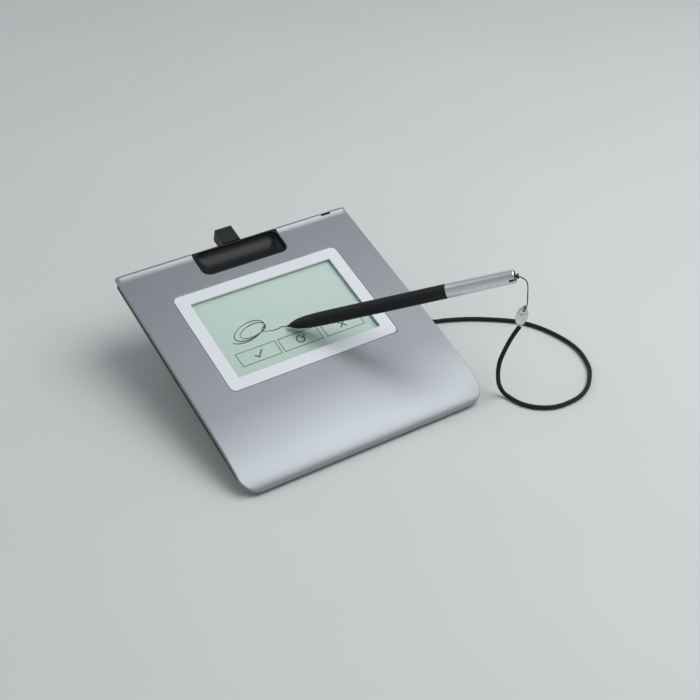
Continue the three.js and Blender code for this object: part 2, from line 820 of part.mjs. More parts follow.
// Stand: one strip bent twice, a flange along the underside, a leg and a level foot
function stand() {
  const top = fromPad(0, standTopFromFront, -seatGap);
  const flangeFront = fromPad(0, standTopFromFront - standFlangeLength, -seatGap);
  const flangeFrontLow = fromPad(0, standTopFromFront - standFlangeLength, -seatGap - standThickness);
  const footLow = standStripHeight + seatGap;
  const heelY = top.y + standLegLean;
  const leg = new THREE.Vector2(heelY - top.y, footLow - top.z).normalize();
  const inward = new THREE.Vector2(leg.y, -leg.x).multiplyScalar(standThickness);
  const innerTopY = top.y + inward.x;
  const innerTop = [innerTopY, flangeFrontLow.z + (innerTopY - flangeFrontLow.y) * Math.tan(tilt)];
  const outline = [
    [flangeFront.y, flangeFront.z],
    [flangeFrontLow.y, flangeFrontLow.z],
    innerTop,
    [heelY + inward.x, footLow],
    [heelY + standFootLength, footLow],
    [heelY + standFootLength, footLow + standThickness],
    [heelY - (leg.x / leg.y) * standThickness, footLow + standThickness],
    [top.y, top.z],
  ];
  const strip = beam(outline, 0, standWidth);
  const plan = planOutline(
    0,
    standWidth,
    flangeFront.y,
    heelY + standFootLength,
    standCornerRadius,
    standCornerRadius,
  );
  return { strip: strip.intersect(slab(plan, 0, top.z + overrun)), heelY };
}
const standMade = stand();
let standBody = standMade.strip;
const standScrewY = standTopFromFront - standFlangeLength / 2;

['left', 'right'].forEach((side, index) => {
  const sign = index === 0 ? -1 : 1;
  const x = (sign * standScrewSpacing) / 2;
  const seat = -seatGap - standThickness - seatGap - caseScrewHeadHeight;
  const hole = new THREE.CylinderGeometry(
    caseScrewRadius + seatGap,
    caseScrewRadius + seatGap,
    standThickness * 4,
    12,
  );
  hole.rotateX(Math.PI / 2 + tilt);
  const middle = fromPad(x, standScrewY, -seatGap - standThickness / 2);
  hole.translate(middle.x, middle.y, middle.z);
  standBody = standBody.subtract(solidOf(hole));
  const shank = -seat - caseScrewHeadHeight - seatGap;
  const mesh = add(
    pad,
    `stand_screw_${side}`,
    screw(caseScrewHeadRadius, caseScrewHeadHeight, caseScrewRadius, shank),
    '#3a3c3e',
    0.4,
    0.8,
  );
  mesh.position.set(x, standScrewY, seat);
});
add(signaturePad, 'stand', standBody, '#222425', 0.5, 0.2);
const strip = block(
  0,
  standWidth - standStripInset * 2,
  standMade.heelY + standStripInset,
  standMade.heelY + standFootLength - standStripInset,
  0,
  standStripHeight,
);
add(signaturePad, 'stand_foot', strip, '#17181a', 0.9, 0);

// Tether anchor: a block under the right side that clamps the cord, held by one screw
const anchorX = padWidth / 2 - anchorFromRight - anchorWidth / 2;
const anchorScrewX = anchorX - anchorWidth / 4;
const anchorBody = block(
  anchorX,
  anchorWidth,
  anchorFromFront - anchorDepth / 2,
  anchorFromFront + anchorDepth / 2,
  -seatGap - anchorHeight,
  -seatGap,
).subtract(post(anchorScrewX, anchorFromFront, caseScrewRadius + seatGap, -anchorHeight * 2, 0, 12))
  .subtract(post(
    anchorScrewX,
    anchorFromFront,
    caseScrewHeadRadius + seatGap,
    -anchorHeight * 2,
    -seatGap - anchorHeight + caseScrewHeadHeight + seatGap,
    14,
  ));
add(pad, 'tether_anchor', anchorBody, '#202223', 0.6, 0);
const anchorShank = anchorHeight - caseScrewHeadHeight - seatGap;
const anchorScrew = add(
  pad,
  'anchor_screw',
  screw(caseScrewHeadRadius, caseScrewHeadHeight, caseScrewRadius, anchorShank),
  '#3a3c3e',
  0.4,
  0.8,
);
anchorScrew.position.set(anchorScrewX, anchorFromFront, -seatGap - anchorHeight);

// Pen, built along its own z from the nib's tip
const pen = new THREE.Group();
const penTip = fromPad(penTipX, penTipFromFront, glassTop + nibToGlass);
pen.position.copy(penTip);
pen.quaternion.setFromUnitVectors(new THREE.Vector3(0, 0, 1), penHeading);
signaturePad.add(pen);

// The nose as shares of the pen's radius and of the length up to where the barrel runs straight
const noseShares = [[0.3, 0], [0.44, 0.05], [0.6, 0.12], [0.77, 0.23], [0.9, 0.42], [0.975, 0.68], [1, 1]];
const noseLength = penBodyStart - penMouth;
const nosePoints = noseShares.map(([across, along]) => [penRadius * across, penMouth + noseLength * along]);
const nibBore = nibRadius + seatGap;
const barrelBore = penRadius - penBarrelWall;
const spigotRadius = penRadius - penRearWall - seatGap;
const ferriteRadius = nibBore + ferriteWall;
const frontBarrel = turned([
  [nibBore, penMouth],
  ...nosePoints,
  [penRadius, penFrontLength],
  [spigotRadius, penFrontLength],
  [spigotRadius, penFrontLength + spigotLength],
  [barrelBore - seatGap, penFrontLength + spigotLength],
  [barrelBore - seatGap, penFrontLength],
  [barrelBore, penFrontLength - spigotLength],
  [barrelBore, ferriteStart + ferriteLength / 3],
  [ferriteRadius + seatGap, ferriteStart + ferriteLength / 4],
  [ferriteRadius + seatGap, ferriteStart - seatGap],
  [nibBore, ferriteStart - seatGap],
  [nibBore, penMouth],
], 32);
add(pen, 'pen_front_barrel', frontBarrel, '#232425', 0.6, 0);

const nib = turned([
  [0, 0],
  [nibRadius * 0.5, nibRadius * 0.15],
  [nibRadius * 0.85, nibRadius * 0.55],
  [nibRadius, nibRadius * 1.4],
  [nibRadius, nibLength],
  [0, nibLength],
], 16);
add(pen, 'pen_nib', nib, '#3a3b3c', 0.5, 0);

const ferrite = turned([
  [nibBore, ferriteStart],
  [ferriteRadius, ferriteStart],
  [ferriteRadius, ferriteStart + ferriteLength],
  [nibBore, ferriteStart + ferriteLength],
  [nibBore, ferriteStart],
], 16);
add(pen, 'pen_ferrite', ferrite, '#2d2b2a', 0.7, 0);
const coilStart = ferriteStart + ferriteLength - coilLength;
const coilBore = ferriteRadius + seatGap;
const coil = turned([
  [coilBore, coilStart],
  [coilBore + coilThickness, coilStart],
  [coilBore + coilThickness, coilStart + coilLength],
  [coilBore, coilStart + coilLength],
  [coilBore, coilStart],
], 16);
add(pen, 'pen_coil', coil, '#a4562b', 0.4, 0.6);

const sensorStart = nibLength + nibTravel + seatGap;
const penSensor = turned([
  [0, sensorStart],
  [penSensorRadius, sensorStart],
  [penSensorRadius, sensorStart + penSensorLength],
  [0, sensorStart + penSensorLength],
], 16);
add(pen, 'pen_pressure_sensor', penSensor, '#8c8f91', 0.5, 0.3);

const carrierStart = sensorStart + penSensorLength + seatGap;
const carrierLength = penBoardLength + seatGap * 2 + penCarrierRadius * 2;
const carrierRod = turned([
  [0, carrierStart],
  [penCarrierRadius, carrierStart],
  [penCarrierRadius, carrierStart + carrierLength],
  [0, carrierStart + carrierLength],
], 16);
const boardStart = carrierStart + penCarrierRadius + seatGap;
const carrierSlot = block(
  0,
  penBoardWidth + seatGap * 2,
  -seatGap,
  penRadius,
  boardStart - seatGap,
  boardStart + penBoardLength + seatGap,
);
add(pen, 'pen_carrier', carrierRod.subtract(carrierSlot), '#3b3e40', 0.6, 0);
const penBoard = block(0, penBoardWidth, 0, boardThickness, boardStart, boardStart + penBoardLength);
add(pen, 'pen_board', penBoard, '#1f5b3a', 0.6, 0);

// Rear barrel: a silver tube with a slot at its end for the string
const rearStart = penFrontLength + seatGap;
const rearBore = penRadius - penRearWall;
const endBore = penEndRadius - penRearWall;
const rearTube = turned([
  [rearBore, rearStart],
  [penRadius, rearStart],
  [penRadius, rearStart + spigotLength],
  [penEndRadius, penLength - penRearWall],
  [penEndRadius - penRearWall / 2, penLength],
  [endBore, penLength],
  [endBore, penLength - plugLength - seatGap],
  [rearBore, rearStart + spigotLength * 2],
  [rearBore, rearStart],
], 32);
const slotTurn = THREE.MathUtils.degToRad(-128);
const slotBox = new THREE.BoxGeometry(penRadius * 2, stringSlotWidth, stringSlotLength + overrun);
slotBox.translate(penRadius, 0, penLength - stringSlotLength / 2 + overrun / 2);
slotBox.rotateZ(slotTurn);
add(pen, 'pen_rear_barrel', rearTube.subtract(solidOf(slotBox)), '#a3a7aa', 0.3, 0.75);

const plugRadius = endBore - seatGap;
const plugTop = penLength - penRearWall;
const plug = turned([
  [0, penLength - plugLength],
  [plugRadius, penLength - plugLength],
  [plugRadius, plugTop],
  [stringHoleRadius, plugTop],
  [stringHoleRadius, plugTop - stringHoleDepth],
  [0, plugTop - stringHoleDepth],
], 24);
add(pen, 'pen_end_plug', plug, '#1b1c1d', 0.5, 0);

// Tether: the route's points stay as chosen by hand, in the row's frame
const cordRoute = [
  [71.3, -54.4, 22.7], [76, -55.2, 22.2], [81, -57, 19.4], [86, -59.6, 14], [90.5, -62, 8.2],
  [95.5, -64.5, 3.6], [101.1, -66.6, 1.6], [108.7, -69.4, 1.5], [114.6, -72.1, 1.5],
  [120.5, -75.1, 1.5], [126.1, -78.4, 1.5], [136.6, -85.9, 1.5], [146.8, -94.7, 1.5],
  [153.9, -105.3, 1.5], [158.9, -119.3, 1.5], [160.8, -133, 1.5], [159.7, -143.5, 1.5],
  [154.1, -157.5, 1.5], [148.7, -164.4, 1.5], [142, -170.6, 1.5], [135.8, -174.3, 1.5],
  [129.5, -176.5, 1.5], [122.1, -177.1, 1.5], [115.1, -176.7, 1.5], [109, -174.8, 1.5],
  [104, -171.7, 1.5], [99.8, -167.6, 1.5], [96.6, -162.4, 1.5], [94.8, -156, 1.6],
  [93.2, -150.8, 3], [91.4, -148.4, 7.6], [89.6, -148.6, 14.5], [88.7, -149.2, 22],
  [88.9, -150.1, 29], [90.5, -150.7, 34.5], [93.2, -150.9, 40], [96.2, -151.1, 44.7],
  [99.9, -151.5, 49.4],
].map(([x, y, z]) => new THREE.Vector3(x, y, z));
add(signaturePad, 'tether_cord', tube(cordRoute, cordDiameter / 2, 8, 60), '#161718', 0.8, 0);

// Bead: a flattened clear oval that hangs on the string, with a hole near its top
const beadMiddle = new THREE.Vector3(101.6, -150.4, 55.4);
const beadAxis = new THREE.Vector3(0.23, 0.133, 0.965).normalize();
const beadFace = new THREE.Vector3(-0.55, -0.8, 0.24).normalize();
const beadSide = new THREE.Vector3().crossVectors(beadFace, beadAxis).normalize();
beadFace.crossVectors(beadAxis, beadSide);
const beadHoleFromTop = 2.4;
const beadShape = new THREE.SphereGeometry(beadLength / 2, 16, 12);
beadShape.rotateX(Math.PI / 2);
beadShape.scale(beadWidth / beadLength, beadThickness / beadLength, 1);
const beadHole = new THREE.CylinderGeometry(beadHoleRadius, beadHoleRadius, beadThickness * 2, 10);
beadHole.translate(0, 0, beadLength / 2 - beadHoleFromTop);
const bead = geometryOf(solidOf(beadShape).subtract(solidOf(beadHole)));
bead.applyMatrix4(new THREE.Matrix4().makeBasis(beadSide, beadFace, beadAxis));
bead.translate(beadMiddle.x, beadMiddle.y, beadMiddle.z);
add(signaturePad, 'tether_bead', bead, '#d6d8d8', 0.15, 0);

// String: from the hole in the pen's end over in a small arc and down to the bead's hole
const stringRoute = [
  [92, -147.1, 83.3], [93.7, -148.7, 84.2], [95.3, -150.1, 84.6], [97, -151.2, 84.1],
  [99, -151.5, 82.6], [101.4, -151.3, 80.2], [102.9, -150.9, 77.4], [103.8, -150.6, 74],
  [104.3, -150.4, 70], [104.3, -150.7, 66.4], [103.9, -151.3, 63.8], [102.9, -151.9, 61.8],
  [101.9, -152.1, 60.5], [101.1, -151.9, 59.5],
].map(([x, y, z]) => new THREE.Vector3(x, y, z));
add(signaturePad, 'tether_string', tube(stringRoute, stringDiameter / 2, 8, 32), '#3a3a3a', 0.8, 0);

export default signaturePad;
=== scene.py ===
import math

import bmesh
import bpy
import numpy as np
from mathutils import Matrix, Vector


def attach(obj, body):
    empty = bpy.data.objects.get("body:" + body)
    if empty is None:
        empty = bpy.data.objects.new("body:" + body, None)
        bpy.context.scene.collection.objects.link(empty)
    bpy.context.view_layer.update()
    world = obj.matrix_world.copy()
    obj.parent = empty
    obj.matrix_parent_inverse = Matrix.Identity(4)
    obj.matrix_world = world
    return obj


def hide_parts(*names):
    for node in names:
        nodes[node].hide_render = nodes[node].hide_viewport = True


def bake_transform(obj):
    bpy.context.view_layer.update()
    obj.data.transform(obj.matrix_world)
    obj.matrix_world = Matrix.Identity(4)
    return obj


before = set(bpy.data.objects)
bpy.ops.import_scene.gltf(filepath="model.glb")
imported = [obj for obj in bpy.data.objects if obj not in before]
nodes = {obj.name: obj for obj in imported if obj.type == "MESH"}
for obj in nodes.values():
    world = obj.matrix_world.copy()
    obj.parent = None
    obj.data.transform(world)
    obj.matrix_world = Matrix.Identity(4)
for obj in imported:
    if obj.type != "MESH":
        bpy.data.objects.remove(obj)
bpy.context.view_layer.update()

# The camera stands where the photograph was taken from, worked out from the straight edges of the
# display window and the case. The image is square, 700 by 700.
camera_data = bpy.data.cameras.new("camera")
camera_data.lens = 64.6825
camera_data.sensor_width = 36.0
camera_data.clip_start = 0.01
camera = bpy.data.objects.new("camera", camera_data)
bpy.context.scene.collection.objects.link(camera)
camera.matrix_world = Matrix((
    (0.84626, 0.31438, -0.43013, -0.298882),
    (-0.53276, 0.50417, -0.67969, -0.598758),
    (0.00318, 0.80435, 0.59415, 0.468677),
    (0.0, 0.0, 0.0, 1.0),
))
bpy.context.scene.camera = camera


# Tether cord: a soft black cord of eight braided strands over a core, 2.7 mm thick. It comes out of
# the clamp under the case, lies on the table in one open loop and rises to the clear bead.
def unit(vectors):
    """Vectors brought to length one."""
    vectors = np.asarray(vectors, float)
    return vectors / (np.linalg.norm(vectors, axis=-1, keepdims=True) + 1e-12)


def distance_along(line):
    """How far each point lies from the line's start, measured along it."""
    return np.concatenate([[0], np.cumsum(np.linalg.norm(np.diff(line, axis=0), axis=1))])


def cubic(t, a, b, start, finish):
    """The cubic that leads from a to b with the given slopes, at share t of the way."""
    ends = (2 * t**3 - 3 * t**2 + 1) * a + (3 * t**2 - 2 * t**3) * b
    return ends + (t**3 - 2 * t**2 + t) * start + (t**3 - t**2) * finish


def route_through(corners, count):
    """A smooth line through given points: cubic pieces whose knots are the square roots of the
    chords, so that it doesn't overshoot, then points at equal steps along it."""
    corners = np.asarray(corners, float)
    ends = np.stack([2 * corners[0] - corners[1], 2 * corners[-1] - corners[-2]])
    p = np.concatenate([ends[:1], corners, ends[1:]])
    gap = np.sqrt(np.linalg.norm(np.diff(p, axis=0), axis=1))[:, None]
    rise = np.diff(p, axis=0) / gap
    double = (p[2:] - p[:-2]) / (gap[1:] + gap[:-1])
    slope = rise[:-1] - double + rise[1:]
    start, finish = slope[:-1] * gap[1:-1], slope[1:] * gap[1:-1]
    t = np.linspace(0, 1, 24, endpoint=False)[:, None, None]
    dense = cubic(t, p[1:-2], p[2:-1], start, finish)
    dense = np.concatenate([dense.transpose(1, 0, 2).reshape(-1, 3), p[-2:-1]])
    walked = distance_along(dense)
    even = np.linspace(0, walked[-1], count)
    return np.stack([np.interp(even, walked, dense[:, k]) for k in range(3)], axis=1)


def rings_along(line, around):
    """Around each point of the line a ring of arrows one metre long and square to it. The first
    arrow is carried from point to point without twist: each is the last one less its part along
    the new tangent. The last arrow of a ring is the first one again."""
    tangent = unit(np.gradient(line, axis=0))
    side = np.empty_like(tangent)
    guess = np.cross(tangent[0], (0.3, -0.2, 0.9))
    for i, forward in enumerate(tangent):
        guess = unit(guess - forward * guess.dot(forward))
        side[i] = guess
    up = np.cross(tangent, side)
    turn = np.linspace(0, 2 * np.pi, around + 1)[:, None]
    turn[-1] = 0
    return side[:, None] * np.cos(turn) + up[:, None] * np.sin(turn)


def tube_along(line, radius, around):
    """A tube: at each point of the line a circle whose radius is a number or an array (points,
    around + 1), and both ends drawn in to a point."""
    size = np.broadcast_to(np.asarray(radius, float), (len(line), around + 1))[..., None]
    skin = line[:, None] + rings_along(line, around) * size
    closes = [np.repeat(line[i][None, None], around + 1, axis=1) for i in (0, -1)]
    return np.concatenate([closes[0], skin, closes[1]])


def mesh_piece(name, sheets, material, crease=40):
    """One mesh from grids of points (rows, columns, 3): each four neighbours make a face. Where
    grids or the ends of one grid meet, their doubles are merged, and the faces are turned
    outward. Edges sharper than crease stay sharp."""
    points, faces, places, first = [], [], [], 0
    for sheet in sheets:
        rows, columns = sheet.shape[:2]
        index = first + np.arange(rows * columns).reshape(rows, columns)
        corners = [index[:-1, :-1], index[:-1, 1:], index[1:, 1:], index[1:, :-1]]
        faces.append(np.stack(corners, axis=-1).reshape(-1, 4))
        points.append(sheet.reshape(-1, 3))
        across, along = np.meshgrid(np.linspace(0, 1, columns), np.linspace(0, 1, rows))
        places.append(np.stack([across, along], axis=-1).reshape(-1, 2))
        first += rows * columns
    faces = np.concatenate(faces)
    mesh = bpy.data.meshes.new(name)
    mesh.from_pydata(np.concatenate(points).tolist(), [], faces.tolist())
    places = np.concatenate(places)[faces.reshape(-1)]
    layer = mesh.uv_layers.new(name="UVMap")
    layer.data.foreach_set("uv", places.astype(np.float32).reshape(-1))
    body = bmesh.new()
    body.from_mesh(mesh)
    bmesh.ops.remove_doubles(body, verts=body.verts, dist=2e-6)
    bmesh.ops.dissolve_degenerate(body, edges=body.edges, dist=1e-7)
    bmesh.ops.recalc_face_normals(body, faces=body.faces)
    body.to_mesh(mesh)
    body.free()
    mesh.shade_smooth()
    mesh.set_sharp_from_angle(angle=math.radians(crease))
    mesh.materials.append(material)
    made = bpy.data.objects.new(name, mesh)
    bpy.context.scene.collection.objects.link(made)
    even = made.modifiers.new("even_shading", "WEIGHTED_NORMAL")
    even.keep_sharp = True
    return made


def shade(red, green, blue):
    """A colour as an eye or a colour card reads it, 0 to 255, turned into the shader's linear
    numbers."""
    parts = np.array([red, green, blue]) / 255
    parts = np.where(parts <= 0.04045, parts / 12.92, ((parts + 0.055) / 1.055) ** 2.4)
    return (*parts.tolist(), 1.0)


def effect(name, takes, gives):
    """An empty shader node group with its sockets, and its two end nodes."""
    group = bpy.data.node_groups.new(name, "ShaderNodeTree")
    for label, kind, value in takes:
        socket = group.interface.new_socket(name=label, in_out="INPUT", socket_type=kind)
        socket.default_value = value
    for label, kind in gives:
        group.interface.new_socket(name=label, in_out="OUTPUT", socket_type=kind)
    return group, group.nodes.new("NodeGroupInput"), group.nodes.new("NodeGroupOutput")


def add_node(tree, kind, wires=(), **settings):
    """A shader node with its settings, and wires given as (input, value or output socket)."""
    made = tree.nodes.new("ShaderNode" + kind)
    for key, value in settings.items():
        setattr(made, key, value)
    for socket, value in wires:
        if isinstance(value, bpy.types.NodeSocket):
            tree.links.new(value, made.inputs[socket])
        else:
            made.inputs[socket].default_value = value
    return made


def finish(name, base, roughness, metallic=0.0, **shader):
    """A new material with a principled shader, its plain numbers set on the shader's own sockets."""
    material = bpy.data.materials.new(name)
    material.use_nodes = True
    material.diffuse_color = base
    tree = material.node_tree
    surface = tree.nodes["Principled BSDF"]
    surface.inputs["Base Color"].default_value = base
    surface.inputs["Roughness"].default_value = roughness
    surface.inputs["Metallic"].default_value = metallic
    for key, value in shader.items():
        surface.inputs[key.replace("_", " ")].default_value = value
    return material, tree, surface


def bump(tree, surface, height, distance):
    """Joins a height in the range 0 to 1 to the shader's normal, distance metres deep."""
    wires = [("Strength", 1.0), ("Distance", distance), ("Height", height)]
    relief = add_node(tree, "Bump", wires)
    tree.links.new(relief.outputs["Normal"], surface.inputs["Normal"])


def noise(tree, place, scale, detail=2.0):
    """The factor of a noise at a place, with so many cells in each unit of the place's measure."""
    made = add_node(tree, "TexNoise", [("Vector", place), ("Scale", scale), ("Detail", detail)])
    return made.outputs["Fac"]


def two_tones(tree, share, first, second, **settings):
    """Two colours mixed by a share, as the mixed colour's socket."""
    wires = [("Fac", share), ("Color1", first), ("Color2", second)]
    return add_node(tree, "MixRGB", wires, **settings).outputs["Color"]


CORD_RADIUS = 0.00135
cord_corners = np.array([
    (71.3, -54.4, 22.7), (76, -55.2, 22.2), (81, -57, 19.4), (86, -59.6, 14), (90.5, -62, 8.2),
    (95.5, -64.5, 3.6), (101.1, -66.6, 1.6), (108.7, -69.4, 1.5), (114.6, -72.1, 1.5),
    (120.5, -75.1, 1.5), (126.1, -78.4, 1.5), (136.6, -85.9, 1.5), (146.8, -94.7, 1.5),
    (153.9, -105.3, 1.5), (158.9, -119.3, 1.5), (160.8, -133, 1.5), (159.7, -143.5, 1.5),
    (154.1, -157.5, 1.5), (148.7, -164.4, 1.5), (142, -170.6, 1.5), (135.8, -174.3, 1.5),
    (129.5, -176.5, 1.5), (122.1, -177.1, 1.5), (115.1, -176.7, 1.5), (109, -174.8, 1.5),
    (104, -171.7, 1.5), (99.8, -167.6, 1.5), (96.6, -162.4, 1.5), (94.8, -156, 1.6),
    (93.2, -150.8, 3), (91.4, -148.4, 7.6), (89.6, -148.6, 14.5), (88.7, -149.2, 22),
    (88.9, -150.1, 29), (90.5, -150.7, 34.5), (93.2, -150.9, 40), (96.2, -151.1, 44.7),
    (99.9, -151.5, 49.4),
]) / 1000
cord_line = route_through(cord_corners, 1250)
cord_length = float(distance_along(cord_line)[-1])
# The strands cross as two families of spirals; each point shows whichever family is on top there
strand_pitch = 0.0052
turn = np.linspace(0, 2 * np.pi, 33)
walk = np.linspace(0, cord_length, len(cord_line))[:, None] * (2 * np.pi / strand_pitch)
strands = np.maximum(np.abs(np.cos(2 * turn - walk)), np.abs(np.cos(2 * turn + walk)))
cord_skin = tube_along(cord_line, CORD_RADIUS * (0.93 + 0.06 * strands), 32)

braid_black, tree, surface = finish(
    "braided_cord", shade(24, 26, 25), 0.75,
    Sheen_Weight=0.08, Sheen_Roughness=0.5, Specular_IOR_Level=0.3,
)
uv = add_node(tree, "UVMap", uv_map="UVMap")
fibre_counts = (16.0, 940.0, 1.0)
stretch = add_node(tree, "Mapping", [("Vector", uv.outputs["UV"]), ("Scale", fibre_counts)])
fibres = noise(tree, stretch.outputs["Vector"], 1.0, 3.0)
tone = two_tones(tree, fibres, shade(12, 13, 12), shade(36, 38, 36))
tree.links.new(tone, surface.inputs["Base Color"])
bump(tree, surface, fibres, 0.00008)
tether_cord = mesh_piece("tether_cord_braid", [cord_skin], braid_black, crease=60)
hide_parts("tether_cord")
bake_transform(tether_cord)


# Sleeve: the tapered, ribbed rubber neck that keeps the cord from kinking where it leaves the clamp
# under the case. It is moulded round the cord and stays with the case.
def sleeve_along(line, length, wide, narrow, bore, ribs, rows=90, around=40):
    """A tube round the first part of a line: its outer radius falls evenly from wide to narrow
    and dips between the ribs, and its inner radius is the bore; both ends are flat."""
    walked = distance_along(line)
    along = np.linspace(0, length, rows)
    centre = np.stack([np.interp(along, walked, line[:, k]) for k in range(3)], axis=1)
    share = along / length
    radius = wide + (narrow - wide) * share
    first_rib, last_rib, groove_depth, round_from = 0.12, 0.97, 0.22, 0.96
    groove = np.clip(np.cos(2 * np.pi * ribs * share) * -3 - 1.6, 0, 1)
    groove = groove * (share > first_rib) * (share < last_rib)
    end_round = 0.0003 * np.clip((share - round_from) / (1 - round_from), 0, 1) ** 2
    radius = radius - groove_depth * (radius - bore) * groove - end_round
    ring = rings_along(centre, around)
    outside = centre[:, None] + ring * radius[:, None, None]
    inside = centre[:, None] + ring * bore
    return np.concatenate([outside, inside[::-1], outside[:1]])


def mottled(name, base, dark, light, roughness, cells, detail=2.0, depth=0.0, **shader):
    """A material of uneven tone: noise with so many cells a metre mixes a dark and a light colour
    and, where a depth in metres is given, makes a relief."""
    material, tree, surface = finish(name, base, roughness, **shader)
    place = add_node(tree, "TexCoord").outputs["Object"]
    patches = noise(tree, place, cells, detail)
    tree.links.new(two_tones(tree, patches, dark, light), surface.inputs["Base Color"])
    if depth:
        bump(tree, surface, patches, depth)
    return material


sleeve = sleeve_along(cord_line, length=0.019, wide=0.0029, narrow=0.0019, bore=0.0014, ribs=6)
sleeve_rubber = mottled(
    "sleeve_rubber", shade(40, 41, 42), shade(34, 35, 36), shade(47, 48, 49),
    roughness=0.7, cells=2400.0, depth=0.00003,
)
cord_sleeve = mesh_piece("cord_sleeve", [sleeve], sleeve_rubber, crease=50)
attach(cord_sleeve, "pad")


# Bead: a flat oval tag of clear plastic at the cord's end, with one small hole for the string.
# It is moulded in one piece and hangs free, so it follows the pen.
bead_middle = np.array([0.1016, -0.1504, 0.0554])
bead_up = unit((0.33, 0.07, 0.965))
bead_side = unit(np.cross((-0.55, -0.8, 0.24), bead_up))
bead_front = np.cross(bead_up, bead_side)


def bead_shell(length, width, thickness, hole_radius, hole_up, around=72, across=22):
    """A closed tag with a hole: for each direction round the hole's centre, from the hole's edge
    out to the oval edge, the half thickness is that of a flattened oval, on the front and then on
    the back."""
    turn = np.linspace(0, 2 * np.pi, around + 1)
    turn[-1] = 0
    a, b = width / 2, length / 2
    dx, dy = np.cos(turn), np.sin(turn)
    square = (dx / a) ** 2 + (dy / b) ** 2
    half = dy * hole_up / b**2
    edge = (-half + np.sqrt(half**2 + square * (1 - (hole_up / b) ** 2))) / square
    ease = np.sin(np.linspace(0, np.pi / 2, across))[:, None]
    reach = hole_radius + (edge[None] - hole_radius) * ease
    x, y = dx * reach, hole_up + dy * reach
    inside = np.clip(1 - (x / a) ** 2 - (y / b) ** 2, 0, 1)
    bluntness, lip_width, lip_dip = 0.38, 0.22, 0.12
    lip = np.exp(-((reach - hole_radius) / (hole_radius * lip_width)) ** 2)
    z = thickness / 2 * inside**bluntness * (1 - lip_dip * lip)
    front = np.stack([x, y, z], axis=-1)
    back = np.stack([x, y, -z], axis=-1)[::-1]
    return np.concatenate([front, back, front[:1]])


bead_hole_up = 0.0034
flat = bead_shell(0.0120, 0.0069, thickness=0.0046, hole_radius=0.0008, hole_up=bead_hole_up)
bead_skin = bead_middle + flat @ np.stack([bead_side, bead_up, bead_front])
clear_plastic = mottled(
    "clear_plastic", shade(236, 240, 240), shade(214, 219, 219), shade(246, 248, 248),
    roughness=0.16, cells=420.0, depth=0.00004, Transmission_Weight=0.8, IOR=1.49,
)
tether_bead = mesh_piece("bead_tag", [bead_skin], clear_plastic, crease=70)
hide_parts("tether_bead")
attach(tether_bead, "pen")


# String: a thin dark twisted thread. It is knotted into the pen's end, bends over in a small arc
# and is tied through the bead's hole; its two strands show as a spiral.
STRING_RADIUS = 0.00036
string_line = route_through(np.array([
    (92, -147.1, 83.3), (93.7, -148.7, 84.2), (95.3, -150.1, 84.6), (97, -151.2, 84.1),
    (99, -151.5, 82.6), (101.4, -151.3, 80.2), (102.9, -150.9, 77.4), (103.8, -150.6, 74),
    (104.3, -150.4, 70), (104.3, -150.7, 66.4), (103.9, -151.3, 63.8), (102.9, -151.9, 61.8),
    (101.9, -152.1, 60.5), (101.1, -151.9, 59.5),
]) / 1000, 420)


def twisted(line, radius, pitch, around=16):
    """A two-strand thread: the radius swells twice round the section, and the swelling turns once
    in each pitch along the line."""
    length = distance_along(line)[-1]
    turn = np.linspace(0, 2 * np.pi, around + 1)
    walk = np.linspace(0, length, len(line))[:, None] * (2 * np.pi / pitch)
    waist = 0.74
    return tube_along(line, radius * (waist + (1 - waist) * np.abs(np.cos(turn - walk))), around)


thread_pitch = 0.0016
string_skin = twisted(string_line, STRING_RADIUS, thread_pitch)
thread = mottled(
    "dark_thread", shade(38, 38, 38), shade(24, 24, 24), shade(54, 54, 53),
    roughness=0.75, cells=5200.0, depth=0.00006, Sheen_Weight=0.15,
)
tether_string = mesh_piece("tether_string_thread", [string_skin], thread, crease=60)
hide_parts("tether_string")
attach(tether_string, "pen")


def knot_line(middle, size, axis, count=150):
    """An overhand knot as a closed line: it goes twice round while it weaves three times through,
    with the given axis as its own."""
    t = np.linspace(0, 2 * np.pi, count)
    axis = unit(axis)
    one = unit(np.cross(axis, (0.1, 0.9, 0.2)))
    two = np.cross(axis, one)
    loops, weave = 1.6, 0.9
    x, y = np.sin(t) + loops * np.sin(2 * t), np.cos(t) - loops * np.cos(2 * t)
    z = -weave * np.sin(3 * t)
    path = x[:, None] * one + y[:, None] * two + z[:, None] * axis
    return np.asarray(middle) + path * size / (1 + loops)


knot = knot_line((0.0956, -0.1503, 0.08475), size=0.00125, axis=(0.7, -0.62, 0.3))
pen_knot = mesh_piece("string_knot_pen", [twisted(knot, 0.00045, 0.0020, 12)], thread, crease=60)
loop_tall, loop_deep = 0.00148, 0.0021
t = np.linspace(0, 2 * np.pi, 120)
loop_up = bead_hole_up + loop_tall * (1 - np.cos(t))
loop_line = bead_middle + loop_up[:, None] * bead_up + loop_deep * np.sin(t)[:, None] * bead_front
loop_skin = twisted(loop_line, 0.00032, thread_pitch, 12)
bead_loop = mesh_piece("string_loop_bead", [loop_skin], thread, crease=60)
for part in (pen_knot, bead_loop):
    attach(part, "pen")


# Table and light: a plain pale table top, one large soft lamp in front to the right, a weak one
# behind to the left, and a sky that pales towards the horizon and is dim where the camera stands.
# None of this belongs to the object.
floor_mesh = bpy.data.meshes.new("table_top")
reach = 3.0
table_corners = [(-reach, -reach, 0), (reach, -reach, 0), (reach, reach, 0), (-reach, reach, 0)]
floor_mesh.from_pydata(table_corners, [], [(0, 1, 2, 3)])
floor = bpy.data.objects.new("table_top", floor_mesh)
bpy.context.scene.collection.objects.link(floor)
pale = mottled(
    "pale_table", shade(216, 218, 217), shade(213, 215, 214), shade(219, 221, 220),
    roughness=0.85, cells=6.0, detail=3.0,
)
floor.data.materials.append(pale)

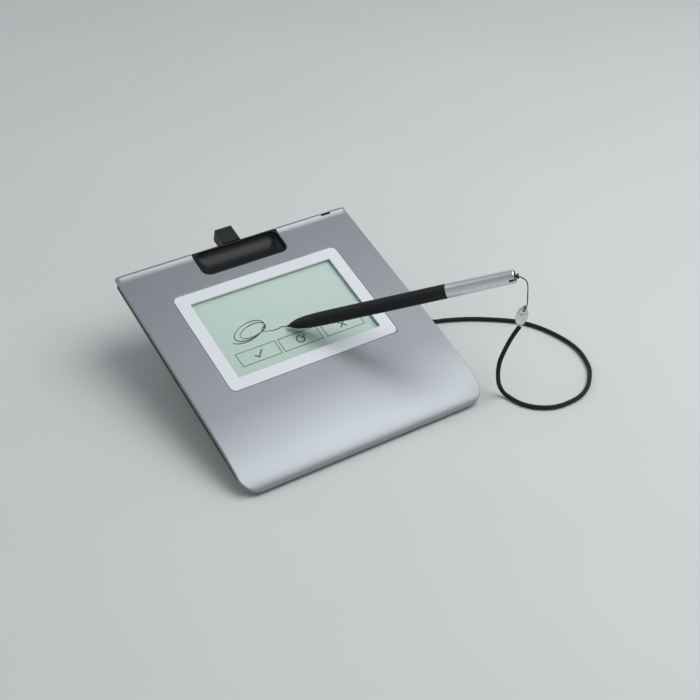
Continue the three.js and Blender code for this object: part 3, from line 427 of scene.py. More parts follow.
for name, spot, aim, size, power in (
    ("lamp_front_right", (0.50, -0.36, 1.00), (0.03, -0.08, 0.0), 0.95, 9.1),
    ("lamp_rear_left", (-0.75, 0.75, 1.00), (0.0, -0.05, 0.0), 0.90, 2.5),
):
    lamp = bpy.data.lights.new(name, "AREA")
    lamp.shape = "SQUARE"
    lamp.size = size
    lamp.energy = power
    holder = bpy.data.objects.new(name, lamp)
    bpy.context.scene.collection.objects.link(holder)
    holder.location = spot
    holder.rotation_euler = (Vector(spot) - Vector(aim)).to_track_quat("Z", "Y").to_euler()
world = bpy.data.worlds.new("pale_sky")
bpy.context.scene.world = world
world.use_nodes = True
sky = world.node_tree


def spread(tree, value, low, high, **settings):
    """A value's share of the way from low to high, kept from 0 to 1."""
    wires = [("Value", value), ("From Min", low), ("From Max", high)]
    return add_node(tree, "MapRange", wires, **settings).outputs["Result"]


outward = add_node(sky, "TexCoord").outputs["Generated"]
camera_direction = (-0.37, -0.73, 0.57)
split = add_node(sky, "SeparateXYZ", [("Vector", outward)])
height = spread(sky, split.outputs["Z"], 0.1, 0.8, interpolation_type="SMOOTHSTEP")
toward = add_node(sky, "VectorMath", [(0, outward), (1, camera_direction)], operation="DOT_PRODUCT")
dim = spread(sky, toward.outputs["Value"], 0.74, 0.98, interpolation_type="SMOOTHSTEP")
tone = two_tones(sky, height, shade(198, 201, 203), shade(136, 140, 145))
tone = two_tones(sky, dim, tone, shade(66, 68, 71))
sky.links.new(tone, sky.nodes["Background"].inputs["Color"])
bpy.context.scene.view_settings.view_transform = "Standard"


# Top cover: one moulding of silver-grey plastic with a satin face. It is flat round the display,
# rolls down along a quarter ellipse in front and ends in a raised lip at the rear, which is
# notched for the pen tray and the lock.
TILT = math.radians(15.3)
PAD = dict(width=161.0, depth=168.6, thick=10.3)


def on_pad(points):
    """Points of the pad's own frame in millimetres (x right, y from the front edge, z up from the
    underside), turned by the slope and put in the row's frame in metres."""
    p = np.asarray(points, float)
    x, y, z = p[..., 0], p[..., 1], p[..., 2]
    c, s = math.cos(TILT), math.sin(TILT)
    return np.stack([x, y * c - z * s - 149.322, y * s + z * c + 0.8], axis=-1) / 1000


def cover_height(y):
    """Height of the top face over the underside: the front quarter ellipse, the flat, the hollow
    rise of the lip, its crest and its rounded rear."""
    y = np.asarray(y, float)
    roll_length, roll_drop = 50.0, 8.4
    lip_foot, lip_crest, lip_rise, lip_drop = 161.8, 166.47, 0.8, 2.2
    roll = np.clip((roll_length - y) / roll_length, 0, 1)
    rise = np.clip((y - lip_foot) / (lip_crest - lip_foot), 0, 1)
    behind = np.clip((y - lip_crest) / (PAD["depth"] - lip_crest), 0, 1)
    z = PAD["thick"] - roll_drop * (1 - np.sqrt(np.clip(1 - roll**2, 0, 1))) + lip_rise * rise**2.2
    return z - lip_drop * (1 - np.sqrt(np.clip(1 - behind**2, 0, 1)))


def arc(cx, cy, radius, start, stop, count):
    """Points on a circle between two angles in degrees."""
    a = np.radians(np.linspace(start, stop, count))
    return np.stack([cx + radius * np.cos(a), cy + radius * np.sin(a)], axis=1)


def straight(x0, y0, x1, y1, steps):
    """Points on a straight line at the given shares of its length, or at that many equal steps."""
    t = np.linspace(0, 1, steps) if isinstance(steps, int) else np.asarray(steps)
    return np.stack([x0 + (x1 - x0) * t, y0 + (y1 - y0) * t], axis=1)


def rounded_box(x0, x1, y0, y1, radii, counts):
    """A rectangle with its own radius at each corner, as one closed loop from the front left:
    counts are the points of a corner, of the front and rear and of the sides."""
    a, b, c, d = radii
    corner, front, side = counts
    loop = [
        straight(x0 + a, y0, x1 - b, y0, front), arc(x1 - b, y0 + b, b, -90, 0, corner),
        straight(x1, y0 + b, x1, y1 - c, side), arc(x1 - c, y1 - c, c, 0, 90, corner),
        straight(x1 - c, y1, x0 + d, y1, front), arc(x0 + d, y1 - d, d, 90, 180, corner),
        straight(x0, y1 - d, x0, y0 + a, side), arc(x0 + a, y0 + a, a, 180, 270, corner),
    ]
    return np.concatenate([*loop, loop[0][:1]])


def inset(loop, amount):
    """The loop moved inward by an amount: each point goes along the mean of the normals of the
    two sides that meet there, lengthened at a corner. A point that stands twice takes the sides
    on both sides of the pair."""
    closed = loop[:-1]
    before, after = closed - np.roll(closed, 1, axis=0), np.roll(closed, -1, axis=0) - closed
    size_b, size_a = np.linalg.norm(before, axis=1), np.linalg.norm(after, axis=1)
    same_b, same_a = size_b < 1e-9, size_a < 1e-9
    earlier, later = np.roll(before, 1, axis=0), np.roll(after, -1, axis=0)
    before[same_b], after[same_a] = earlier[same_b], later[same_a]
    before, after = unit(before), unit(after)
    normal = unit(np.stack([-(before + after)[:, 1], (before + after)[:, 0]], axis=1))
    lean = np.clip((normal * np.stack([-before[:, 1], before[:, 0]], axis=1)).sum(axis=1), 0.5, 1)
    moved = closed + normal * (amount / lean)[:, None]
    return np.concatenate([moved, moved[:1]])


def round_edge(size, count):
    """Steps over a rounded edge from the wall to the face: how far in and how far down each is."""
    a = np.linspace(0, np.pi / 2, count)
    return np.stack([size * (1 - np.cos(a)), size * (1 - np.sin(a))], axis=1)


def lift(loop, z):
    """A flat loop with its heights, as one row of a sheet."""
    return np.concatenate([loop, np.broadcast_to(np.asarray(z, float), len(loop))[:, None]], axis=1)


half, depth = PAD["width"] / 2, PAD["depth"]
front_corner, rear_corner, tray_corner, lip_corner = 10.5, 1.1, 5.5, 1.6
tray_left, tray_right, tray_front = -30.1, 29.1, 148.0
lock_left, lock_right, lock_front, lock_margin = 62.8, 69.2, 165.9, 1.2
side_steps = np.concatenate([
    np.linspace(0, 0.25, 34), np.linspace(0.25, 0.93, 22)[1:], np.linspace(0.93, 1, 34)[1:],
])
lip_steps = np.concatenate([np.linspace(0, 0.88, 24), np.linspace(0.88, 1, 10)[1:]])
notch_steps = np.sin(np.linspace(0, np.pi / 2, 34))
rear_x = [half - rear_corner, lock_right, lock_right, lock_left, lock_left, tray_right + lip_corner]
rear_y = [depth, depth, lock_front, lock_front, depth, depth]
rear_right = [
    straight(rear_x[i], rear_y[i], rear_x[i + 1], rear_y[i + 1], n)
    for i, n in enumerate((14, 6, 8, 6, 16))
]
cover_rim = [
    straight(-half + front_corner, 0, half - front_corner, 0, 48),
    arc(half - front_corner, front_corner, front_corner, -90, 0, 26),
    straight(half, front_corner, half, depth - rear_corner, side_steps),
    arc(half - rear_corner, depth - rear_corner, rear_corner, 0, 90, 8),
    *rear_right,
    arc(tray_right + lip_corner, depth - lip_corner, lip_corner, 90, 180, 8),
    straight(tray_right, depth - lip_corner, tray_right, tray_front + tray_corner, notch_steps),
    arc(tray_right - tray_corner, tray_front + tray_corner, tray_corner, 0, -90, 12),
    straight(tray_right - tray_corner, tray_front, tray_left + tray_corner, tray_front, 30),
    arc(tray_left + tray_corner, tray_front + tray_corner, tray_corner, 270, 180, 12),
    straight(tray_left, tray_front + tray_corner, tray_left, depth - lip_corner, 1 - notch_steps[::-1]),
    arc(tray_left - lip_corner, depth - lip_corner, lip_corner, 0, 90, 8),
    straight(tray_left - lip_corner, depth, -half + rear_corner, depth, lip_steps),
    arc(-half + rear_corner, depth - rear_corner, rear_corner, 90, 180, 8),
    straight(-half, depth - rear_corner, -half, front_corner, 1 - side_steps[::-1]),
    arc(-half + front_corner, front_corner, front_corner, 180, 270, 26),
]
# The recess for the display frame has a point for each point of the rim. Straight stretches are
# pairs of ends, corners are a middle with the angle that they start from.
recess = dict(left=-57.15, right=56.55, front=61.4, rear=139.6, corner=3.9)
x0, x1 = recess["left"] + recess["corner"], recess["right"] - recess["corner"]
y0, y1 = recess["front"] + recess["corner"], recess["rear"] - recess["corner"]
rear_stops = [x1, 50, 47.6, 46, 44.5, 40, 39, 32, 27, -28, -33, -39.5, -41, x0]
recess_plan = [
    (x0, recess["front"], x1, recess["front"]), (x1, y0, -90),
    (recess["right"], y0, recess["right"], y1), (x1, y1, 0),
    *[(a, recess["rear"], b, recess["rear"]) for a, b in zip(rear_stops[:-1], rear_stops[1:])],
    (x0, y1, 90), (recess["left"], y1, recess["left"], y0), (x0, y0, 180),
]
recess_rim = []
for plan, rim in zip(recess_plan, cover_rim):
    share = distance_along(rim)
    if len(plan) == 4:
        recess_rim.append(straight(*plan, share / share[-1]))
    else:
        recess_rim.append(arc(*plan[:2], recess["corner"], plan[2], plan[2] + 90, len(rim)))
outer = np.concatenate([*cover_rim, cover_rim[0][:1]])
inner = np.concatenate([*recess_rim, recess_rim[0][:1]])
notch_first = sum(len(part) for part in cover_rim[:4])
notch_stops = [lock_right + lock_margin, lock_right, lock_left, lock_left - lock_margin]


def between(start, stop, share):
    """The loop at a share of the way from one loop to another. Behind the display, right of the
    tray, the way leads first to a straight line in front of the lip and from there straight back,
    so that it meets the lock notch squarely."""
    turn_at = 0.8
    way = start + (stop - start) * turn_at
    last = notch_first + sum(len(part) for part in rear_right)
    stops = [way[notch_first, 0], *notch_stops, way[last - 1, 0]]
    across = [np.linspace(a, b, len(part)) for a, b, part in zip(stops[:-1], stops[1:], rear_right)]
    way[notch_first:last, 0] = np.concatenate(across)
    way[notch_first:last, 1] = way[notch_first, 1]
    if share <= turn_at:
        return start + (way - start) * (share / turn_at)
    return way + (stop - way) * ((share - turn_at) / (1 - turn_at))


def end_fall(loop):
    """How far the lip falls away over its last 3 mm at either end."""
    stretch, fall, starts, run = 3.0, 0.6, 162.5, 3.5
    along = np.clip((np.abs(loop[:, 0]) - half + stretch) / stretch, 0, 1)
    behind = np.clip((loop[:, 1] - starts) / run, 0, 1)
    return fall * along**2 * behind**2 * (3 - 2 * behind)


def cover_sheet(outer, inner, round_over=0.45, wall=1.8, rows=64):
    """The whole shell as one closed sheet: up out of the display recess, out across the top face
    in rows that crowd towards the rim, over the rim's small round, down the skirt, in under it
    and back below the top face."""
    chamfer, skirt_height, tuck, recess_floor = 0.18, 2.4, 0.55, 9.15
    flat_end, front_run, lowest_skirt, lowest_ceiling = 160.0, 20.0, 1.2, 1.4
    thick = PAD["thick"]
    bend = np.linspace(0, np.pi / 2, 5)[1:]
    made = [lift(inner, recess_floor)]
    made += [lift(inset(inner, -out), thick - down) for out, down in round_edge(chamfer, 5)]
    start, stop = inset(inner, -chamfer), inset(outer, round_over)
    for u in np.sin(np.linspace(0, np.pi / 2, rows))[1:]:
        across = between(start, stop, u)
        made.append(lift(across, cover_height(across[:, 1]) - end_fall(across)))
    top = cover_height(stop[:, 1]) - end_fall(stop)
    skirt = cover_height(np.minimum(outer[:, 1], flat_end)) - skirt_height
    skirt = np.maximum(skirt, lowest_skirt)
    front = np.clip(1 - outer[:, 1] / front_run, 0, 1)
    drop = round_over + 0.65 * front
    for a in bend:
        ring = inset(outer, round_over * (1 - math.sin(a)))
        made.append(lift(ring, np.maximum(top - drop * (1 - math.cos(a)), skirt + 0.1)))
    brow = made[-1][:, 2]
    for a in bend:
        ring = inset(outer, tuck * front[:-1] * (1 - math.cos(a)))
        made.append(lift(ring, brow + (skirt - brow) * math.sin(a)))

    def ceiling(loop):
        return cover_height(np.clip(loop[:, 1], wall, flat_end)) - wall

    under = inset(outer, wall)
    made += [lift(under, skirt), lift(under, np.maximum(ceiling(under) - 0.2, skirt + 0.05))]
    for u in np.sin(np.linspace(0, np.pi / 2, 20))[::-1][1:]:
        across = between(inner, under, u)
        made.append(lift(across, np.maximum(ceiling(across), lowest_ceiling)))
    made.append(made[0])
    return np.stack(made)



# What moulded plastic shows close up: a fine even grain, and tone that drifts slightly over the part
grain, takes, gives = effect(
    "moulded_grain",
    [("Colour", "NodeSocketColor", (0.5, 0.5, 0.5, 1)), ("Drift", "NodeSocketFloat", 0.04),
     ("Grain", "NodeSocketFloat", 3000.0), ("Roughness", "NodeSocketFloat", 0.4)],
    [("Colour", "NodeSocketColor"), ("Height", "NodeSocketFloat"), ("Roughness", "NodeSocketFloat")],
)


def maths(tree, operation, *values):
    """The result of a sum with numbers and sockets."""
    return add_node(tree, "Math", list(enumerate(values)), operation=operation).outputs[0]


place = add_node(grain, "TexCoord").outputs["Object"]
fine = noise(grain, place, takes.outputs["Grain"])
patches_per_metre, rough_swing = 38.0, 0.18
wide = noise(grain, place, patches_per_metre, 3.0)
swing = maths(grain, "SUBTRACT", wide, 0.5)
swing = maths(grain, "MULTIPLY_ADD", swing, takes.outputs["Drift"], 1.0)
tint_wires = [(0, takes.outputs["Colour"]), ("Scale", swing)]
tinted = add_node(grain, "VectorMath", tint_wires, operation="SCALE")
speck = maths(grain, "SUBTRACT", fine, 0.5)
rough = maths(grain, "MULTIPLY_ADD", speck, rough_swing, takes.outputs["Roughness"])
grain.links.new(tinted.outputs["Vector"], gives.inputs["Colour"])
grain.links.new(fine, gives.inputs["Height"])
grain.links.new(rough, gives.inputs["Roughness"])


def moulded(name, colour, roughness, drift=0.05, per_metre=3000.0, depth=0.00001, metallic=0.0, **shader):
    """Moulded plastic or a coated metal part, whose colour, roughness and relief the shared grain
    drives: drift is how far its tone wanders, per_metre how many grains lie in a metre, and depth
    how deep they are in metres."""
    material, tree, surface = finish(name, colour, roughness, metallic, **shader)
    surface_grain = add_node(tree, "Group", node_tree=grain)
    numbers = {"Colour": colour, "Drift": drift, "Grain": per_metre, "Roughness": roughness}
    for key, value in numbers.items():
        surface_grain.inputs[key].default_value = value
    tree.links.new(surface_grain.outputs["Colour"], surface.inputs["Base Color"])
    tree.links.new(surface_grain.outputs["Roughness"], surface.inputs["Roughness"])
    bump(tree, surface, surface_grain.outputs["Height"], depth)
    return material


silver = moulded("silver_satin", shade(154, 159, 163), 0.46, 0.05, 5200.0, 0.000012, metallic=0.82)
top_cover = mesh_piece("top_cover_shell", [on_pad(cover_sheet(outer, inner))], silver, crease=52)
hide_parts("top_cover")
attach(top_cover, "pad")


# Lock slot insert: a small black frame set down in the lip's notch, with the narrow slot that a
# security lock goes into. It is screwed to the steel lock plate behind the lip.
def upright(x0, x1, z0, z1, radius, y):
    """A rounded rectangle that stands across the pad at one depth, as a closed loop."""
    flat = rounded_box(x0, x1, z0, z1, (radius,) * 4, (6, 8, 6))
    return np.stack([flat[:, 0], np.full(len(flat), y), flat[:, 1]], axis=1)


def slot_sheet():
    """A small block as one closed sheet of upright loops: from the middle of the slot's floor
    along the slot to the rear face, then forward over the block, whose top follows the lip's
    curve, to the middle of its front."""
    slot_x, slot_z, clearance = (lock_left + lock_right) / 2, 8.75, 0.15
    rows = [upright(63.9, 68.1, 8.3, 9.1, 0.35, y) for y in (167.0, 168.35)]
    rows.append(upright(63.8, 68.2, 8.2, 9.2, 0.4, 168.5))
    crown = [
        (168.5, 9.35), (168.42, 9.75), (168.25, 10.05), (167.95, 10.35), (167.5, 10.62),
        (167.0, 10.75), (166.3, 10.72), (166.02, 10.66), (166.0, 10.55),
    ]
    left, right = lock_left + clearance, lock_right - clearance
    rows += [upright(left, right, 7.95, top, 0.18, y) for y, top in crown]
    first, last = rows[0].copy(), rows[-1].copy()
    first[:, 0], first[:, 2] = slot_x, slot_z
    last[:, 0], last[:, 2] = slot_x, slot_z
    return np.stack([first, *rows, last])


slot_black = moulded("slot_black", shade(22, 23, 25), 0.5, 0.08, 4000.0, 0.00001, Specular_IOR_Level=0.3)
slot_insert = mesh_piece("lock_slot_insert", [on_pad(slot_sheet())], slot_black, crease=50)
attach(slot_insert, "pad")


# Bottom cover, feet and stand: black moulded tray under the top cover, rubber pads in front, and a
# bent steel strip with a rubber strip below that holds the rear up. Flat-head black screws.
case_black = moulded("case_black", shade(27, 29, 31), 0.5, 0.08, 3600.0, 0.00002, Specular_IOR_Level=0.35)
rubber = moulded("foot_rubber", shade(38, 38, 39), 0.82, 0.15, 2600.0, 0.00005)
stand_black = moulded("stand_coating", shade(48, 49, 51), 0.46, 0.06, 2200.0, 0.00003)
screw_black = moulded("black_screws", shade(62, 62, 64), 0.35, 0.1, 4000.0, 0.00001, metallic=0.8)


def dress(material, *names):
    """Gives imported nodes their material."""
    for name in names:
        nodes[name].data.materials.clear()
        nodes[name].data.materials.append(material)


dress(case_black, "bottom_cover", "tether_anchor")
dress(rubber, "front_foot_left", "front_foot_right", "stand_foot")
dress(stand_black, "stand")
dress(screw_black, *[f"case_screw_{i}" for i in range(1, 7)])
dress(screw_black, "stand_screw_left", "stand_screw_right", "anchor_screw")


# Display frame: a flat near-white plastic ring let in flush with the cover, 1.1 mm thick, with
# finely broken edges and a sharp-cornered window.
def ring_plate(outer, inner, low, high, edge):
    """A flat ring as one closed sheet: up the outside, over its broken edge, across the top, over
    the window's broken edge, down the window's wall and back underneath."""
    broken = round_edge(edge, 5)
    made = [lift(outer, low)]
    made += [lift(inset(outer, amount), high - down) for amount, down in broken]
    made += [lift(inset(inner, -amount), high - down) for amount, down in broken[::-1]]
    made += [lift(inner, low), lift(outer, low)]
    return np.stack(made)


gap = 0.3
window_wide, window_deep, window_corner = 96.8, 61.3, 0.8
middle_x = (recess["left"] + recess["right"]) / 2
middle_y = (recess["front"] + recess["rear"]) / 2
plate_counts = (14, 24, 18)
plate_outer = rounded_box(
    recess["left"] + gap, recess["right"] - gap, recess["front"] + gap, recess["rear"] - gap,
    (recess["corner"] - gap,) * 4, plate_counts,
)
plate_window = rounded_box(
    middle_x - window_wide / 2, middle_x + window_wide / 2,
    middle_y - window_deep / 2, middle_y + window_deep / 2, (window_corner,) * 4, plate_counts,
)
plate = ring_plate(plate_outer, plate_window, low=9.2, high=PAD["thick"], edge=0.16)
bezel_white = moulded("bezel_white", shade(229, 235, 238), 0.38, 0.03, 4200.0, 0.000008)
display_frame_plate = mesh_piece("display_bezel_plate", [on_pad(plate)], bezel_white, crease=50)
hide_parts("display_bezel")
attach(display_frame_plate, "pad")


# Writing glass: a clear plate with a fine matt etch against glare, laid under the bezel's edge.
# Lamps shine through it without the slow paths of real refraction.
white = (1.0, 1.0, 1.0, 1.0)
etched, tree, surface = finish("etched_glass", white, 0.12, Transmission_Weight=1.0, IOR=1.46)
etch = noise(tree, add_node(tree, "TexCoord").outputs["Object"], 9000.0, 1.0)
bump(tree, surface, etch, 0.000001)
path = add_node(tree, "LightPath").outputs
light_way = maths(tree, "MAXIMUM", path["Is Shadow Ray"], path["Is Diffuse Ray"])
let_through = 0.94
opaque = maths(tree, "MULTIPLY_ADD", light_way, -let_through, 1.0)
tree.links.new(opaque, surface.inputs["Alpha"])
dress(etched, "display_glass")


# Screen: a grey-green reflective panel without a lamp of its own. Fine pixel rows cross it, and
# painted shade makes it a little darker towards the front edge and lighter towards the rear.
screen_colour = shade(196, 214, 206)
screen, tree, surface = finish("reflective_screen", screen_colour, 0.42, Specular_IOR_Level=0.35)
place = add_node(tree, "TexCoord").outputs["Object"]
split = add_node(tree, "SeparateXYZ", [("Vector", place)])
# Painted shade and light: the screen's colour is darker at the front edge and lighter to the rear
painted_dark_until, painted_light_from = -0.085, -0.02
painted_shade_share = spread(tree, split.outputs["Y"], painted_dark_until, painted_light_from)
tone = two_tones(tree, painted_shade_share, shade(184, 206, 197), shade(200, 221, 212))
pixel = 0.0003
rows = add_node(tree, "TexBrick", [
    ("Vector", place), ("Color1", (1, 1, 1, 1)), ("Color2", (0.985, 0.985, 0.985, 1)),
    ("Mortar", (0.93, 0.94, 0.935, 1)), ("Scale", 1.0), ("Mortar Size", 0.00002),
    ("Brick Width", pixel), ("Row Height", pixel),
], offset=0.0)
both = two_tones(tree, 1.0, tone, rows.outputs["Color"], blend_type="MULTIPLY")
tree.links.new(both, surface.inputs["Base Color"])
dress(screen, "display_panel")


# Marks on the screen: dark segments that the panel shows, three outlined keys with plain signs and
# one free pen stroke. Each is a flat line a few hundredths of a millimetre thick on the panel.
def flat_line(points, width, low=7.41, high=7.45, closed=False):
    """A flat line in the pad's plane: at each point a small rectangle as wide as the line and
    square to it, closed at both ends."""
    p = np.asarray(points, float)
    if closed:
        ahead = np.roll(p, -1, axis=0) - p
        behind = p - np.roll(p, 1, axis=0)
    else:
        ahead = np.concatenate([np.diff(p, axis=0), p[-1:] - p[-2:-1]])
        behind = np.concatenate([p[1:2] - p[:1], np.diff(p, axis=0)])
    ahead = unit(ahead)
    mean = unit(ahead + unit(behind))
    square = np.stack([-mean[:, 1], mean[:, 0]], axis=1)
    grow = 1 / np.clip((mean * ahead).sum(axis=1), 0.5, 1)
    reach = square * (np.broadcast_to(width, len(p)) / 2 * grow)[:, None]
    left, right = p + reach, p - reach
    rows = [lift(left, high), lift(right, high), lift(right, low), lift(left, low), lift(left, high)]
    strip = np.stack(rows).transpose(1, 0, 2)
    if closed:
        return [np.concatenate([strip, strip[:1]])]
    caps = [np.repeat(strip[i].mean(axis=0, keepdims=True), 5, axis=0)[None] for i in (0, -1)]
    return [np.concatenate([caps[0], strip, caps[1]])]


marks = []
key_wide, key_front, key_rear = 26.0, 77.3, 87.3
for left in (-41.4, -13.3, 15.8):
    right = left + key_wide
    key = [(left, key_front), (right, key_front), (right, key_rear), (left, key_rear)]
    marks += flat_line(key, 0.46, closed=True)
marks += flat_line([(-31.2, 82.2), (-29.3, 80.1), (-25.4, 84.7)], 0.85)
sweep = np.radians(np.linspace(60, 385, 40))
marks += flat_line(np.stack([-0.3 + 2.5 * np.cos(sweep), 82.3 + 2.5 * np.sin(sweep)], axis=1), 0.8)
marks += flat_line([(0.3, 83.3), (2.2, 83.1), (3.6, 84.7)], 0.8)
marks += flat_line([(26.6, 80.1), (31.0, 84.5)], 0.85)
marks += flat_line([(26.6, 84.5), (31.0, 80.1)], 0.85)
# The stroke: flat ovals drawn round and round while the hand moves right and slows, up to the nib
t = np.linspace(0, 1, 420)
angle = np.radians(200 + 360 * 2.7 * t)
wide, tall = 12.5 - 5 * t, 7.4 - 4.4 * t
stroke_x = -27 + 5 * t + wide * np.cos(angle)
stroke_y = 100.4 - 1.6 * t + tall * np.sin(angle + 0.35)
stroke = np.stack([stroke_x, stroke_y], axis=1)
tail = np.array([(-18.6, 97.2), (-13.4, 95.1), (-9.6, 94.6), (-6.2, 95.2), (-2.86, 94.2)])
stroke = np.concatenate([stroke[:385], tail])
stroke = route_through(np.concatenate([stroke, np.zeros((len(stroke), 1))], axis=1), 600)[:, :2]
marks += flat_line(stroke, 0.62 + 0.16 * np.sin(np.linspace(0, 34, 600)))
ink = mottled(
    "screen_segments", shade(30, 37, 36), shade(24, 30, 29), shade(40, 48, 46),
    roughness=0.6, cells=2600.0, detail=0.0,
)
screen_marks = mesh_piece("screen_marks", [on_pad(m) for m in marks], ink, crease=30)
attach(screen_marks, "pad")


# Pen tray: a polished black insert in the rear edge, hollowed like a shallow bath so that the pen
# lies across it. Its rear rim follows the cover's lip.
def tray_sheet(left, right, front, rear, corner, low, deep=5.3):
    """The insert as closed sheets: out over its rim, then loops that shrink from the hollow's
    edge to a line along its middle while they sink by a quarter ellipse, then the flat base."""
    counts = (14, 70, 22)
    crest, round_over, hollow_round, blunt = rear - 1.9, 0.45, 0.3, 8.6
    side_rim, front_rim, rear_corner, hollow_corner = 0.8, 0.6, 1.1, 4.6
    rise, rear_run, rear_drop = 0.8, 2.15, 2.1
    outline = rounded_box(left, right, front, rear, (corner, corner, rear_corner, rear_corner), counts)
    edge = rounded_box(
        left + side_rim, right - side_rim, front + front_rim, crest, (hollow_corner,) * 4, counts,
    )
    core = np.full((len(edge), 2), (front + front_rim + crest) / 2)
    core[:, 0] = np.clip(edge[:, 0], left + blunt, right - blunt)

    def rim(loop):
        lean = np.clip((loop[:, 1] - front) / (crest - front), 0, 1)
        behind = np.clip((loop[:, 1] - crest) / rear_run, 0, 1)
        return PAD["thick"] + rise * lean**1.5 - rear_drop * (1 - np.sqrt(1 - behind**2))

    rows = [lift(outline, low), lift(outline, rim(outline) - 1.0)]
    for amount, down in round_edge(round_over, 6)[1:]:
        loop = inset(outline, amount)
        rows.append(lift(loop, rim(loop) - down))
    start, stop = loop, inset(edge, -hollow_round)
    for u in np.linspace(0, 1, 8)[1:-1]:
        loop = start + (stop - start) * u
        rows.append(lift(loop, rim(loop)))
    for amount, down in round_edge(hollow_round, 5)[::-1]:
        loop = inset(edge, -amount)
        rows.append(lift(loop, rim(loop) - down))
    for a in np.linspace(0.06, np.pi / 2, 30):
        loop = core + (edge - core) * math.cos(a)
        rows.append(lift(loop, rim(loop) - hollow_round - (deep - hollow_round) * math.sin(a)))
    base = [lift(core, low), lift(outline, low)]
    return [np.stack(rows), np.stack(base)]


tray = tray_sheet(
    tray_left + gap, tray_right - gap, tray_front + gap, depth - gap, tray_corner - gap, low=3.5,
)
tray_black = moulded(
    "tray_black", shade(26, 27, 29), 0.36, 0.06, 1500.0, 0.000006, Specular_IOR_Level=0.24,
)
pen_tray = mesh_piece("pen_tray_insert", [on_pad(s) for s in tray], tray_black, crease=48)
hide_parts("pen_tray")
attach(pen_tray, "pad")


# Port housing and data port: a small black box moulded on the rear edge, open behind for a plug,
# with a drawn steel shell and its contact tongue inside.
def housing_sheet(front, rear, wall):
    """A box with rounded edges and a plug opening behind, as one closed sheet of loops across its
    depth: up the opening's inside, out over the rear face and forward along the outside."""
    left, right, low, high, edge, corner = -6.9, 5.1, 0.7, 10.3, 0.7, 0.9
    room, opening = (-5.6, 3.8, 1.8, 6.5, 0.3), (-5.0, 3.2, 2.9, 6.5, 0.7)
    mouth = (-5.2, 3.4, 2.7, 6.7, corner)
    rows = [upright(*room, y) for y in (front, rear - wall)]
    rows += [upright(*opening, y) for y in (rear - wall, rear - 0.2)]
    rows.append(upright(*mouth, rear))
    for less, back in round_edge(edge, 6)[::-1]:
        rows.append(upright(left + less, right - less, low + less, high - less, corner, rear - back))
    rows += [upright(left, right, low, high, corner, front), rows[0]]
    return np.stack(rows)


housing = housing_sheet(front=168.9, rear=181.7, wall=1.3)
port_housing = mesh_piece("port_housing_box", [on_pad(housing)], case_black, crease=50)
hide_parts("port_housing")
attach(port_housing, "pad")
sheet_steel = moulded("drawn_steel", shade(190, 192, 195), 0.3, 0.08, 2400.0, 0.000006, metallic=0.95)
dress(sheet_steel, "data_port", "lock_plate", "shield_plate", "clock_crystal", "pen_pressure_sensor")
dress(sheet_steel, "board_screw_left", "board_screw_right")
tongue = [upright(-2.9, 1.1, 4.45, 4.95, 0.12, y) for y in (174.2, 180.5)]
tongue.append(upright(-2.75, 0.95, 4.55, 4.85, 0.1, 180.7))
first, last = [np.broadcast_to(tongue[i].mean(axis=0), tongue[i].shape) for i in (0, -1)]
tongue = on_pad(np.stack([first, *tongue, last]))
port_tongue = mesh_piece("port_contact_tongue", [tongue], slot_black, crease=40)
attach(port_tongue, "pad")


# Pen, front barrel: black moulded plastic with a long bullet nose, straight behind it, and the
# nib's small mouth in front. The pen is turned round one axis, from the nib's tip to its rear end.
PEN_TIP = on_pad([-3.65, 93.1, 9.55]) * 1000
pen_axis = unit((0.698, -0.621, 0.356))
turn_axis = np.cross((0, 0, 1), pen_axis)
turn_size = math.acos(pen_axis[2])
pen_turn = np.array(Matrix.Rotation(turn_size, 3, Vector(turn_axis)))


def on_pen(points):
    """Points of the pen's own frame in millimetres (z from the nib's tip to the rear), in the
    row's frame in metres."""
    return (np.asarray(points, float) @ pen_turn.T + PEN_TIP) / 1000


def turned(profile, start=0.0, stop=360.0, around=96):
    """A turned surface: radius and height pairs carried round the pen's axis from one angle to
    the other."""
    profile = np.asarray(profile, float)
    angle = np.radians(np.linspace(start, stop, around + 1))
    if stop - start >= 359.999:
        angle[-1] = angle[0]
    r, z = profile[:, :1], profile[:, 1:]
    return np.stack([r * np.cos(angle), r * np.sin(angle), z + 0 * angle], axis=-1)


def eased(pairs, count):
    """A smooth line through (height, radius) pairs: a cubic through each pair of neighbours with
    slopes that never overshoot them, as (radius, height) pairs."""
    z, r = np.asarray(pairs, float).T
    step = np.diff(r) / np.diff(z)
    between_steps = 2 * step[1:] * step[:-1] / (step[1:] + step[:-1] + 1e-12)
    slope = np.concatenate([step[:1], between_steps, [0]])
    at = np.linspace(z[0], z[-1], count)
    i = np.clip(np.searchsorted(z, at, side="right") - 1, 0, len(z) - 2)
    h = z[i + 1] - z[i]
    value = cubic((at - z[i]) / h, r[i], r[i + 1], h * slope[i], h * slope[i + 1])
    return np.stack([value, at], axis=1)


barrel_radius, nose_start, nose_end = 4.3, 2.2, 30.0
along_shares = np.array([0, 0.05, 0.12, 0.23, 0.42, 0.68, 1.0])
across_shares = np.array([0.3, 0.44, 0.6, 0.77, 0.9, 0.975, 1.0])
nose_points = [nose_start + (nose_end - nose_start) * along_shares, barrel_radius * across_shares]
nose = eased(np.stack(nose_points, axis=1), 60)
front_profile = [
    (1.1, 12.0), (1.1, 2.35), (1.2, nose_start), *nose,
    (barrel_radius, 60.0), (barrel_radius, 99.85), (4.15, 100.0), (3.2, 100.0),
    (3.2, 108.0), (2.8, 108.0), (2.8, 100.0), (3.1, 92.0), (3.1, 15.0), (2.2, 13.5), (1.1, 12.0),
]
pen_black = moulded("pen_black", shade(21, 24, 24), 0.5, 0.05, 4200.0, 0.000015, Specular_IOR_Level=0.32)
pen_front = mesh_piece("pen_front_barrel_skin", [on_pen(turned(front_profile))], pen_black, crease=35)
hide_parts("pen_front_barrel")
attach(pen_front, "pen")

